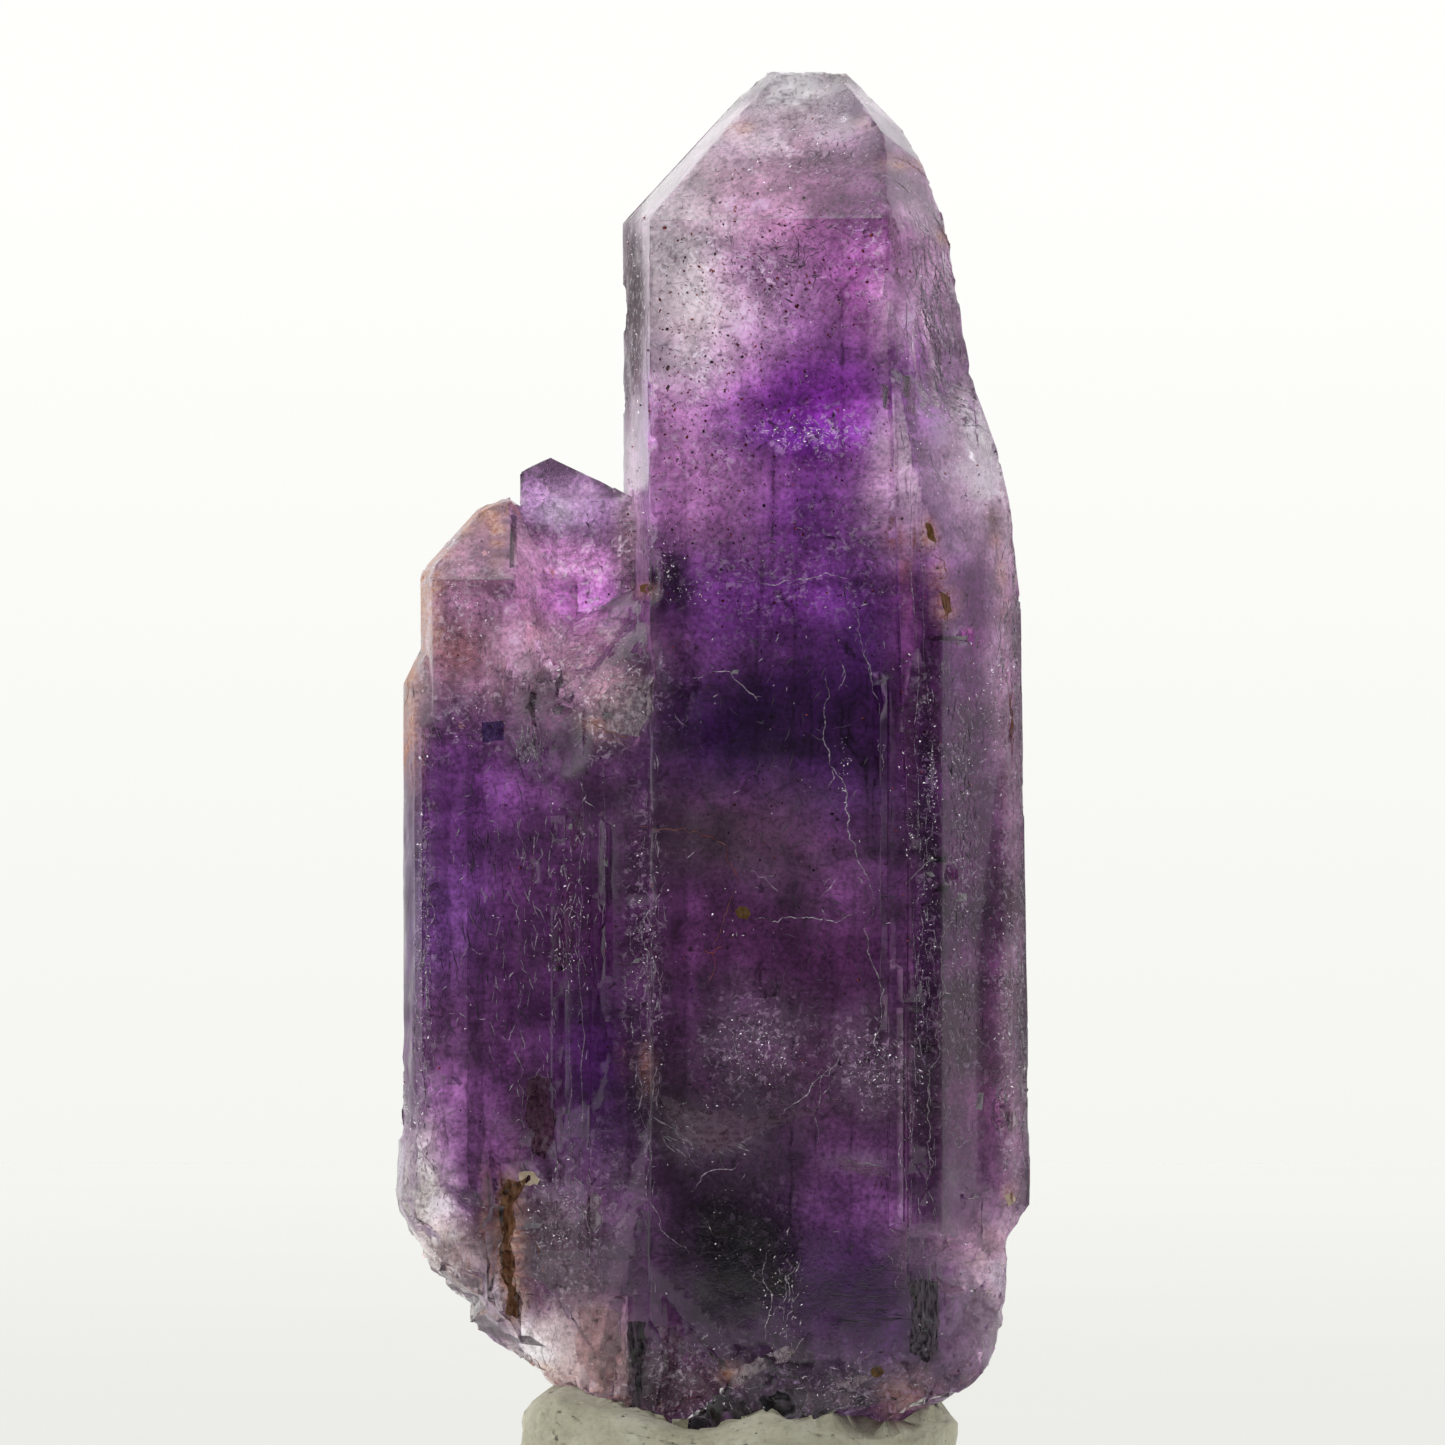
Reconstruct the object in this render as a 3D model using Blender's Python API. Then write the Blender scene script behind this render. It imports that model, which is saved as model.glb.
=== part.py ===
"""Skeletal amethyst standing in a lump of putty, in metres, +Z up, front toward -Y."""

from math import copysign, cos, exp, radians, sin, sqrt, tan
from random import Random

import bmesh
import bpy
from mathutils import Matrix, Vector, noise

MM = 0.001
OBJECT_NAME = "skeletal_amethyst"

# Driving dimensions, in millimetres
MAIN_AXIS = (5.7, 0.0)
MAIN_TOP = 72.4
MAIN_SHOULDER = 64.9
MAIN_LEFT = 9.23
MAIN_FRONT = 6.31
MAIN_BACK = 6.26
MAIN_BACK_LEFT = 9.9
STEEP_CHANGE = 60.0
STEEP_EDGE = 12.6
OVERGROWTH_EDGE = 15.85
OVERGROWTH_TOP = 56.0
OVERGROWTH_CORNER = 10.2
LEFT_CRYSTAL_TOP = 51.15
LEFT_CRYSTAL_EDGE = -14.58
LEFT_LEDGE_EDGE = -15.45
LEFT_LEDGE_TOP = 42.0
SMALL_CRYSTAL_TOP = 53.2
BREAK_TOP = 46.3
NOTCH_POINT = (-7.05, 1.9, 44.9)
BREAK_FOOT = 38.75
LEDGE_TOP = 15.75
ROOT_BOTTOM = 2.6
PUTTY_HALF_WIDTH = 11.3
PUTTY_HALF_DEPTH = 8.0
PUTTY_CENTRE_X = 1.35
PUTTY_CENTRE_Y = -0.3
PUTTY_WAIST = 2.2
PUTTY_HEIGHT = 6.1
PUTTY_ROUND = 0.55
# Mounds and dips along the rim: where, how wide and how high
PUTTY_MOUNDS = [
    (-8.2, 2.2, 1.5),
    (-0.5, 2.4, -1.1),
    (3.4, 2.6, 0.3),
    (8.2, 2.2, -0.7),
    (11.6, 1.8, 1.2),
]
GAP = 0.3
BOX_MIDDLE = (0.026, 0.358, 0.0)

AMETHYST_COLOUR = (0.28, 0.12, 0.42)
PUTTY_COLOUR = (0.72, 0.73, 0.68)

# Quartz angles, in degrees: prism faces turn by 60, and the point's faces dip by 51.8
AZIMUTH_LEFT = -80
AZIMUTH_FRONT = -20
AZIMUTH_RIGHT_FRONT = 40
AZIMUTH_RIGHT = 100
AZIMUTH_BACK = 160
AZIMUTH_BACK_LEFT = -140
POINT_DIP = 51.8
UPRIGHT = 90

BLOCK_SIZE = 200
CUT_TOLERANCE = 1e-8
PUTTY_SEGMENTS = 56
PUTTY_RINGS = 26
# Growth strips on the front: azimuth, x and z of the middle, width, height, rise, slant of the top
FRONT_STRIPS = [
    (AZIMUTH_FRONT, 9.2, 21.5, 0.9, 13.0, 0.12, 35),
    (AZIMUTH_FRONT, 8.6, 33.5, 0.5, 17.0, 0.08, -40),
    (AZIMUTH_FRONT, -5.3, 31.0, 0.6, 8.0, 0.10, 38),
    (AZIMUTH_FRONT, -12.6, 29.0, 1.6, 14.0, 0.22, -38),
    (AZIMUTH_FRONT, -7.6, 23.6, 0.8, 14.0, 0.24, 38),
]
STRIP_SEED = 11
BACK_STRIPS = 8

# Pits: azimuth, dip, point, width, height, depth, turn and number of sides
PITS = [
    (AZIMUTH_FRONT, UPRIGHT, (-7.55, -2.1, 34.5), 0.8, 1.9, 0.16, 0, 6),
    (AZIMUTH_FRONT, UPRIGHT, (-9.0, -1.6, 32.4), 0.6, 1.5, 0.14, 8, 6),
    (52, UPRIGHT, (11.95, -6.97, 32.4), 1.0, 1.3, 0.18, 20, 5),
    (52, UPRIGHT, (12.6, -6.14, 44.2), 1.6, 1.0, 0.16, 8, 5),
    (52, UPRIGHT, (14.3, -3.97, 20.5), 1.0, 2.4, 0.18, -6, 6),
    (AZIMUTH_BACK, UPRIGHT, (9.0, 5.46, 40), 2.4, 4.2, 0.2, 4, 6),
    (AZIMUTH_BACK, UPRIGHT, (4.4, 7.13, 27), 1.5, 2.6, 0.2, -5, 6),
]

# Scars: azimuth, dip, point on the surface, width, height and depth of the bite
SCARS = [
    (-15, 40, (3.2, -0.3, 72.3), 2.2, 1.6, 0.35),
    (40, 30, (5.9, -0.4, 72.4), 2.0, 1.6, 0.35),
    (120, 40, (6.6, 1.4, 72.2), 1.8, 2.2, 0.35),
    (170, 45, (4.4, 2.9, 72.2), 2.6, 1.8, 0.35),
    (-75, 60, (-12.9, 2.9, 49.4), 1.8, 2.6, 0.2),
    (-44, 52, (-4.7, -0.6, 44.8), 3.0, 1.5, 0.25),
    (-44, 52, (-6.0, -0.9, 43.2), 2.2, 1.6, 0.2),
    (-17, 84, (-4.4, -2.9, 40.8), 2.6, 1.7, 0.22),
    (2, 66, (-8.8, 0.1, 41.2), 2.0, 3.4, 0.2),
    (2, 66, (-7.6, -0.7, 39.4), 1.7, 2.6, 0.16),
    (-20, 88, (-2.95, -3.5, 47.0), 1.2, 2.6, 0.35),
    (14, 97, (7.6, -7.3, 7.0), 4.0, 2.6, 0.35),
    (-10, 100, (3.2, -5.7, 6.4), 3.0, 2.0, 0.3),
    (28, 128, (12.6, -5.6, 13.3), 3.2, 1.9, 0.45),
    (85, 110, (15.7, -2.0, 14.8), 2.4, 1.8, 0.4),
    (-60, 112, (-14.2, 1.0, 13.6), 3.0, 2.4, 0.35),
    (-35, 100, (-9.4, -0.9, 11.2), 2.0, 2.6, 0.35),
    (-75, 130, (-9.6, 2.0, 8.2), 2.6, 2.0, 0.3),
    (58, 76, (10.6, -6.2, 57.4), 1.6, 4.4, 0.25),
    (80, 74, (12.0, -4.7, 62.0), 1.4, 3.8, 0.2),
    (150, 84, (13.6, 3.9, 24), 2.6, 4.0, 0.35),
    (-165, 96, (0.4, 8.4, 19), 2.0, 3.6, 0.35),
    (-150, 104, (-11.6, 6.0, 15.4), 2.8, 2.2, 0.35),
    (150, 110, (6.0, 5.9, 10.4), 3.6, 2.2, 0.35),
]

# Edges with nicks: azimuth out of the edge, its x and y, and the lowest and highest z
NICKED_EDGES = [
    (-80, -4.5, 4.4, 56, 64),
    (-45, -3.05, -3.53, 49, 64),
    (10, 10.2, -8.3, 16, 52),
    (10, 10.2, -8.3, 16, 52),
    (75, 15.75, -2.3, 18, 46),
    (-60, -15.3, 1.9, 24, 38),
    (130, 14.4, 3.1, 18, 44),
    (-170, 0.3, 8.4, 22, 62),
]
NICK_SEED = 5
NICKS_PER_EDGE = 3
STRIP_SUNK = 0.5
SCAR_DETAIL = 3
SCAR_RIPPLE = 0.02
LENS_THICKNESS = 3.0
NICK_DETAIL = 3


def clear_scene():
    for obj in list(bpy.data.objects):
        bpy.data.objects.remove(obj, do_unlink=True)


def new_collection(name):
    collection = bpy.data.collections.new(name)
    bpy.context.scene.collection.children.link(collection)
    return collection


def plain_material(name, colour, roughness):
    material = bpy.data.materials.new(name)
    material.use_nodes = True
    shader = material.node_tree.nodes["Principled BSDF"]
    shader.inputs["Base Color"].default_value = (*colour, 1)
    shader.inputs["Roughness"].default_value = roughness
    shader.inputs["Metallic"].default_value = 0
    return material


def face_normal(azimuth, dip):
    """Outward normal: azimuth in degrees right of the front, dip 90 upright, 0 facing up, 180 facing down."""
    turn = radians(azimuth)
    lean = radians(dip)
    return Vector((sin(turn) * sin(lean), -cos(turn) * sin(lean), cos(lean)))


def front_y(x):
    """Depth of the main crystal's front face at this x."""
    middle = Vector(MAIN_AXIS) + MAIN_FRONT * face_normal(AZIMUTH_FRONT, UPRIGHT).xy
    return middle.y + (x - middle.x) * tan(radians(AZIMUTH_FRONT))


def main_side(azimuth, distance):
    """An upright face of the main crystal, given by its distance from the crystal's axis."""
    point = Vector((*MAIN_AXIS, 0)) + distance * face_normal(azimuth, UPRIGHT)
    return azimuth, UPRIGHT, point


def finish_mesh(bm, name, collection):
    bmesh.ops.recalc_face_normals(bm, faces=bm.faces[:])
    mesh = bpy.data.meshes.new(name)
    bm.to_mesh(mesh)
    bm.free()
    obj = bpy.data.objects.new(name, mesh)
    collection.objects.link(obj)
    return obj


def cut_block(name, faces, collection, grow=0.0):
    """A convex crystal: a block cut by planes, each an (azimuth, dip, point in mm), moved out by grow mm."""
    bm = bmesh.new()
    bmesh.ops.create_cube(bm, size=BLOCK_SIZE * MM)
    for azimuth, dip, point in faces:
        normal = face_normal(azimuth, dip)
        place = (Vector(point) + grow * normal) * MM
        cut = bmesh.ops.bisect_plane(
            bm,
            geom=bm.verts[:] + bm.edges[:] + bm.faces[:],
            plane_co=place,
            plane_no=normal,
            clear_outer=True,
            dist=CUT_TOLERANCE,
        )
        rim = [part for part in cut["geom_cut"] if isinstance(part, bmesh.types.BMEdge)]
        if rim:
            bmesh.ops.contextual_create(bm, geom=rim)
    return finish_mesh(bm, name, collection)


def facing(azimuth, dip):
    """Rotation that turns +Z to a face's normal, +X along the face and +Y up it."""
    normal = face_normal(azimuth, dip)
    along = Vector((cos(radians(azimuth)), sin(radians(azimuth)), 0))
    return Matrix((along, normal.cross(along), normal)).transposed().to_4x4()


def strip_faces(azimuth, point, width, height, rise, slant):
    """A low growth strip on an upright face, with a slanting top and foot: it barely stands out of the face."""
    middle = Vector(point)
    outward = face_normal(azimuth, UPRIGHT)
    along = Vector((cos(radians(azimuth)), sin(radians(azimuth)), 0))
    half = along * width / 2
    top = middle + Vector((0, 0, height / 2))
    foot = middle - Vector((0, 0, height / 2))
    side = copysign(80, slant)
    return [
        (azimuth, UPRIGHT, middle + outward * rise),
        (azimuth + 180, UPRIGHT, middle - outward * STRIP_SUNK),
        (azimuth - 60, UPRIGHT, middle - half),
        (azimuth + 60, UPRIGHT, middle + half),
        (azimuth + side, abs(slant), top),
        (azimuth, POINT_DIP, top + outward * rise),
        (azimuth + side, 180 - abs(slant) / 2, foot),
    ]


def pit(name, face, size, turn, sides, collection, above=0.5):
    """A shallow pit with sloping walls in a face: size is (width, height, depth) in mm."""
    azimuth, dip, point = face
    width, height, depth = size
    bm = bmesh.new()
    bmesh.ops.create_cone(
        bm, cap_ends=True, segments=sides, radius1=0.36, radius2=0.5, depth=1
    )
    thickness = depth + above
    shape = (
        Matrix.Translation(Vector(point) * MM)
        @ facing(azimuth, dip)
        @ Matrix.Rotation(radians(turn), 4, "Z")
        @ Matrix.Diagonal((width * MM, height * MM, thickness * MM, 1))
        @ Matrix.Translation((0, 0, 0.5 - depth / thickness))
    )
    bmesh.ops.transform(bm, matrix=shape, verts=bm.verts[:])
    return finish_mesh(bm, name, collection)


def scar(name, face, size, detail, collection):
    """A conchoidal scar: a shallow bite of a flattened sphere, size being its (width, height, depth) in mm."""
    azimuth, dip, point = face
    width, height, depth = size
    thickness = LENS_THICKNESS * depth
    lift = thickness - depth
    spread = 1 / sqrt(1 - (lift / thickness) ** 2)
    bm = bmesh.new()
    bmesh.ops.create_icosphere(bm, subdivisions=detail, radius=1)
    for vert in bm.verts:
        vert.co *= 1 + SCAR_RIPPLE * noise.noise(vert.co * 3 + Vector(point))
    shape = (
        Matrix.Translation(Vector(point) * MM)
        @ facing(azimuth, dip)
        @ Matrix.Translation((0, 0, lift * MM))
        @ Matrix.Diagonal((width * spread * MM / 2, height * spread * MM / 2, thickness * MM, 1))
    )
    bmesh.ops.transform(bm, matrix=shape, verts=bm.verts[:])
    return finish_mesh(bm, name, collection)


def main_crystal_faces():
    """The tall crystal: six prism faces, its point with small left and right facets, and the chipped tip."""
    left_top = (-4.5, 4.4, MAIN_SHOULDER)
    front_top = (-3.05, front_y(-3.05), MAIN_SHOULDER)
    return [
        main_side(AZIMUTH_LEFT, MAIN_LEFT),
        main_side(AZIMUTH_FRONT, MAIN_FRONT),
        main_side(AZIMUTH_BACK, MAIN_BACK),
        main_side(AZIMUTH_BACK_LEFT, MAIN_BACK_LEFT),
        (AZIMUTH_RIGHT_FRONT, UPRIGHT, (9.75, front_y(9.75), 0)),
        (AZIMUTH_RIGHT, UPRIGHT, (14.6, -1, 0)),
        (42, 88, (8.95, front_y(8.95), 55)),
        (AZIMUTH_RIGHT, 81, (STEEP_EDGE, -4.44, STEEP_CHANGE)),
        (98, 83, (STEEP_EDGE + 0.1, -4.44, STEEP_CHANGE)),
        (98, 71.5, (11.75, -4.4, 65)),
        (95, 64, (9.95, -3.4, 69.6)),
        (AZIMUTH_LEFT, 47.2, left_top),
        (AZIMUTH_FRONT, POINT_DIP, front_top),
        (AZIMUTH_BACK_LEFT, 63, left_top),
        (55, 62, (8.62, -5.2, 67.95)),
        (72, 46, (6.35, -0.9, MAIN_TOP)),
        (AZIMUTH_RIGHT, 48, (7.95, 0.5, 71.2)),
        (AZIMUTH_BACK, 52, (5.0, 3.0, MAIN_TOP)),
        (10, 3, (4.8, 0.4, MAIN_TOP)),
        (-25, 96, (2, front_y(2), 8.2)),
        (15, 104, (9, front_y(9) + 0.2, 9.4)),
        (-60, 112, (-2.6, -2.2, 7.8)),
        (98, 98, (14.2, 0, 13.0)),
        (96, 114, (13.4, 0, 9.4)),
        (94, 136, (12.2, 0, 7.4)),
        (88, 150, (10.2, 0, 5.9)),
        (45, 162, (8.0, 0, 4.4)),
        (AZIMUTH_BACK, 108, (6, 5.9, 12)),
        (-10, 174, (3, 0, ROOT_BOTTOM + 0.6)),
    ]


def overgrowth_faces():
    """The later growth on the main crystal's right side, whose edge flares out in steps down to a ledge."""
    corner = (OVERGROWTH_CORNER, front_y(OVERGROWTH_CORNER) + 0.06, 55)
    narrow_end = (11.45, corner[1] + 1.25 * tan(radians(30)), 49)
    return [
        (AZIMUTH_FRONT, UPRIGHT, corner),
        (30, UPRIGHT, corner),
        (52, UPRIGHT, narrow_end),
        (50, 80, narrow_end),
        (45, 62, corner),
        (18, 72, (9.6, front_y(9.6), 56.4)),
        (AZIMUTH_RIGHT, 88.8, (OVERGROWTH_EDGE, -2.3, 26)),
        (98, 83, (15.4, -2.3, 46)),
        (97, 76, (14.55, -2.3, 52)),
        (95, 70.5, (14.05, -2.6, 54)),
        (AZIMUTH_BACK, UPRIGHT, (14.25, 3.2, 0)),
        (AZIMUTH_BACK, 70, (13, 3.6, 47)),
        (-140, UPRIGHT, (3, 4, 0)),
        (AZIMUTH_LEFT, UPRIGHT, (6.0, 0, 0)),
        (75, 40, (12.5, -3.5, OVERGROWTH_TOP + 2.2)),
        (94, 124, (15.9, -2.2, LEDGE_TOP)),
        (50, 128, (14.2, -4.6, 14.6)),
        (10, 148, (12.0, -6.2, 13.7)),
        (-15, 158, (9.8, -7.5, 12.4)),
    ]


def right_lobe_faces():
    """The rounded lobe below the ledge, set back from the overgrowth above it."""
    return [
        (-30, 88, (9.9, -6.6, 12)),
        (-5, 92, (11.2, -6.75, 10)),
        (20, 94, (12.2, -6.3, 10)),
        (45, 92, (13.5, -4.9, 10)),
        (68, 91, (14.2, -3.3, 11)),
        (96, 92, (14.9, -2.2, 12.6)),
        (96, 103, (14.7, -2.2, 10.4)),
        (96, 118, (14.0, -2.2, 8.3)),
        (94, 138, (12.9, -2, 7)),
        (90, 150, (11.2, -2.6, 5.9)),
        (60, 160, (9.0, -3.4, 4.8)),
        (-20, 168, (9, -3, ROOT_BOTTOM + 1.3)),
        (AZIMUTH_BACK, 93, (12, 3.0, 12)),
        (AZIMUTH_LEFT, UPRIGHT, (7.6, 0, 0)),
        (30, 20, (11, -3, 17.5)),
    ]


def left_crystal_faces():
    """The shorter parallel crystal, with its chipped point and the clear facet on its right."""
    apex = (-10.3, 2.58, LEFT_CRYSTAL_TOP)
    return [
        (AZIMUTH_LEFT, UPRIGHT, (LEFT_CRYSTAL_EDGE, 4.2, 0)),
        (AZIMUTH_FRONT, UPRIGHT, (-14.0, front_y(-14.0) + 0.02, 0)),
        (AZIMUTH_RIGHT, UPRIGHT, (-5.2, 0, 0)),
        (AZIMUTH_BACK, UPRIGHT, (-9.0, 7.6, 0)),
        (AZIMUTH_BACK_LEFT, UPRIGHT, (-13.6, 5.3, 0)),
        (AZIMUTH_LEFT, 48.4, (-14.05, 4.0, 48.0)),
        (AZIMUTH_LEFT, 66, (-14.5, 4.0, 47.25)),
        (-70, 27, (-12.05, 3.0, 50.25)),
        (AZIMUTH_FRONT, POINT_DIP, apex),
        (66, 60, apex),
        (60, 78, (-9.4, front_y(-9.4) + 0.5, 46.2)),
        (AZIMUTH_BACK, 50, (-10.6, 3.6, LEFT_CRYSTAL_TOP)),
        (AZIMUTH_BACK_LEFT, 55, (-12.4, 4.6, 49.4)),
        (-76, 122, (-15.2, 5.6, 15.0)),
        (-70, 142, (-13.6, 6.0, 12.3)),
        (-58, 150, (-10.6, 5.0, 11.0)),
        (10, 96, (-7, front_y(-7), 14)),
        (AZIMUTH_BACK, 112, (-10, 7.2, 16)),
        (0, 180, (0, 0, 10.6)),
    ]


def left_ledge_faces():
    """The outer layer of the left crystal, which stops above at a slanting ledge."""
    return [
        (AZIMUTH_LEFT, UPRIGHT, (LEFT_LEDGE_EDGE, 4.43, 0)),
        (AZIMUTH_FRONT, UPRIGHT, (-14.8, front_y(-14.8) - 0.12, 0)),
        (-50, UPRIGHT, (-14.75, front_y(-14.8) + 0.1, 0)),
        (AZIMUTH_RIGHT, UPRIGHT, (-6.45, 0, 0)),
        (AZIMUTH_BACK, UPRIGHT, (-10.0, 6.7, 0)),
        (AZIMUTH_BACK_LEFT, UPRIGHT, (-14.9, 5.2, 0)),
        (AZIMUTH_LEFT, 61, (-15.35, 4.4, LEFT_LEDGE_TOP)),
        (-35, 66, (-13.2, front_y(-13.2), 40.5)),
        (20, 60, (-8.6, front_y(-8.6), 37.4)),
        (AZIMUTH_BACK, 60, (-12, 6.2, 41)),
        (-76, 118, (-15.35, 5.2, 15.2)),
        (-70, 138, (-14.0, 5.6, 12.6)),
        (-30, 135, (-9, front_y(-9), 13.2)),
        (AZIMUTH_BACK, 110, (-10, 6.4, 16)),
        (0, 180, (0, 0, 11)),
    ]


def left_foot_faces():
    """The pale swelling at the left crystal's foot, broken off below by slanting faces."""
    return [
        (AZIMUTH_LEFT, 86, (-15.45, 3.6, 21.8)),
        (AZIMUTH_LEFT, 94, (-15.98, 3.4, 17.6)),
        (-62, 89, (-15.6, 2.0, 18)),
        (-45, 82, (-14.6, 0.6, 21)),
        (AZIMUTH_FRONT, UPRIGHT, (-12, front_y(-12) - 0.22, 0)),
        (AZIMUTH_RIGHT, UPRIGHT, (-10.9, 0, 0)),
        (AZIMUTH_BACK, UPRIGHT, (-12.0, 5.9, 0)),
        (-130, UPRIGHT, (-15.5, 4.6, 0)),
        (-10, 45, (-12.6, front_y(-12.6), 24.4)),
        (60, 62, (-11.6, 0, 22.8)),
        (0, 15, (-13, 3, 26)),
        (-84, 102, (-16.1, 4.6, 17)),
        (-80, 120, (-15.75, 5.0, 15.1)),
        (-76, 136, (-14.5, 5.2, 12.7)),
        (-64, 156, (-13.8, 5.4, 11.9)),
        (20, 150, (-11.3, -0.4, 11.3)),
        (170, 120, (-12, 5.7, 14)),
    ]


def clear_wedge_faces():
    """The clear wedge that shows below the left foot."""
    return [
        (AZIMUTH_FRONT, 94, (-12.4, front_y(-12.4) + 0.7, 11)),
        (-88, 136, (-13.6, 4.6, 11.9)),
        (-86, 142, (-12.2, 4.6, 10.7)),
        (-76, 146, (-11.2, 4.6, 10.2)),
        (AZIMUTH_RIGHT, UPRIGHT, (-9.6, 0, 0)),
        (AZIMUTH_BACK, 98, (-11, 4.6, 12)),
        (0, 0, (0, 0, 14)),
        (-100, UPRIGHT, (-13.7, 3, 0)),
    ]


def pillar_faces():
    """The narrow upright strip beside the stained crack at the foot."""
    return [
        (AZIMUTH_FRONT, UPRIGHT, (-10.8, front_y(-10.8) - 0.34, 0)),
        (AZIMUTH_LEFT, UPRIGHT, (-11.45, 0, 0)),
        (70, UPRIGHT, (-10.2, front_y(-10.2), 0)),
        (AZIMUTH_BACK, UPRIGHT, (-10.8, 3.5, 0)),
        (-20, 35, (-10.8, front_y(-10.8), 15.9)),
        (-60, 138, (-11.3, 0, 10.7)),
        (-50, 128, (-10.5, 0, 9.6)),
    ]


def small_crystal_faces():
    """The small crystal in the crook, whose front face runs into the main crystal's left side."""
    right_end = (-3.8, 0.72)
    apex = (-7.95, 3.1, SMALL_CRYSTAL_TOP)
    return [
        (-84, 89.3, (-9.5, 2.6, 50)),
        (-45, UPRIGHT, (-9.1, 2.35, 0)),
        (AZIMUTH_FRONT, 86, (*right_end, 46)),
        (AZIMUTH_FRONT, 70, (-6.6, 2.2, 50.5)),
        (AZIMUTH_RIGHT, UPRIGHT, (right_end[0] + 0.35, 1.5, 0)),
        (AZIMUTH_BACK, UPRIGHT, (-6.5, 5.6, 0)),
        (AZIMUTH_BACK_LEFT, UPRIGHT, (-8.9, 4.6, 0)),
        (AZIMUTH_LEFT, 27, apex),
        (98, 28, apex),
        (AZIMUTH_BACK, 50, (-7.2, 4.0, SMALL_CRYSTAL_TOP - 0.5)),
        (0, 180, (0, 0, 36)),
    ]


def middle_faces():
    """The growth between the two tall crystals, broken off above in a steep face."""
    return [
        (AZIMUTH_FRONT, UPRIGHT, (-6, front_y(-6) + 0.1, 0)),
        (AZIMUTH_LEFT, UPRIGHT, (-10.4, 0, 0)),
        (AZIMUTH_RIGHT, UPRIGHT, (-1.6, 0, 0)),
        (AZIMUTH_BACK, UPRIGHT, (-6, 6.5, 0)),
        (AZIMUTH_BACK_LEFT, UPRIGHT, (-8.6, 6.9, 0)),
        (2.4, 65.7, NOTCH_POINT),
        (AZIMUTH_BACK, POINT_DIP, (-6, 4.6, 46.4)),
        (AZIMUTH_BACK_LEFT, POINT_DIP, (-7.6, 4.6, 45.6)),
        (10, 98, (-5, front_y(-5) + 0.2, 12)),
        (-70, 120, (-8.8, 1.0, 11.2)),
        (AZIMUTH_BACK, 105, (-5, 6.8, 15)),
        (0, 180, (0, 0, 7.8)),
    ]


def shoulder_faces():
    """The broken shoulder that climbs from the notch to the main crystal's edge."""
    return [
        (-44, 51.8, NOTCH_POINT),
        (-17.5, 84, (-5.3, front_y(-5.3), BREAK_FOOT + 0.85)),
        (AZIMUTH_FRONT, UPRIGHT, (-6, front_y(-6) + 0.04, 0)),
        (70, UPRIGHT, (-2.75, front_y(-2.75), 0)),
        (AZIMUTH_RIGHT, 40, (-3.6, 0.4, BREAK_TOP + 0.5)),
        (AZIMUTH_BACK, UPRIGHT, (-5, 3.4, 0)),
        (-70, UPRIGHT, (-8.4, 0, 0)),
        (-30, 150, (-4.6, front_y(-4.6), 31.0)),
    ]


def pink_root_faces():
    """The smooth rounded piece of root at the lower left that sits in the putty."""
    return [
        (-35, 88, (-5.7, front_y(-5.7) + 0.35, 8)),
        (5, 93, (-4.6, front_y(-4.6) + 0.1, 8)),
        (70, UPRIGHT, (-4.2, -2.9, 0)),
        (-66, 100, (-7.4, -0.9, 8.4)),
        (-92, 124, (-9.4, 0.6, 8.4)),
        (-90, 142, (-8.2, 1, 6.8)),
        (-70, 157, (-6.9, 1, 6.2)),
        (0, 172, (-5, 0, 3.9)),
        (AZIMUTH_BACK, 104, (-6, 4.9, 8)),
        (-30, 25, (-6, -1, 11.6)),
        (AZIMUTH_RIGHT, UPRIGHT, (-1.4, 0, 0)),
    ]


def root_faces():
    """The broken root under the left side, narrowing to where it sits in the putty."""
    return [
        (-50, 96, (-7.9, front_y(-7.9) + 0.9, 10)),
        (AZIMUTH_FRONT, 91, (-5.4, front_y(-5.4) + 0.55, 10)),
        (-96, 124, (-10.0, 1.2, 9.0)),
        (-94, 132, (-9.3, 1.2, 8.0)),
        (-88, 148, (-8.3, 1, 7.2)),
        (-96, UPRIGHT, (-10.5, 0, 0)),
        (AZIMUTH_RIGHT, UPRIGHT, (0.5, 0, 0)),
        (AZIMUTH_BACK, 102, (-6, 6.3, 14)),
        (-150, 118, (-7, 5.2, 9.5)),
        (10, 8, (-5, 0, 16)),
        (0, 180, (0, 0, ROOT_BOTTOM + 0.9)),
    ]


def break_face(x, z, inset=0.0):
    """A point on the common front face, or inset mm behind it."""
    return (x, front_y(x) + inset, z)


def triangular_break_faces():
    """The cutter for the dark three-cornered break low on the front."""
    return [
        (70, 52, (0.65, front_y(0.65), 7.15)),
        (70, 143, (0.65, front_y(0.65), 7.15)),
        (-110, UPRIGHT, (-3.5, -3, 0)),
        (-145, 84, (-1.5, front_y(-1.5) + 1.5, 8)),
        (165, 88, (-1.5, front_y(-1.5) + 1.4, 8)),
        (AZIMUTH_FRONT, UPRIGHT, (0, front_y(0) - 3, 0)),
    ]


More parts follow.
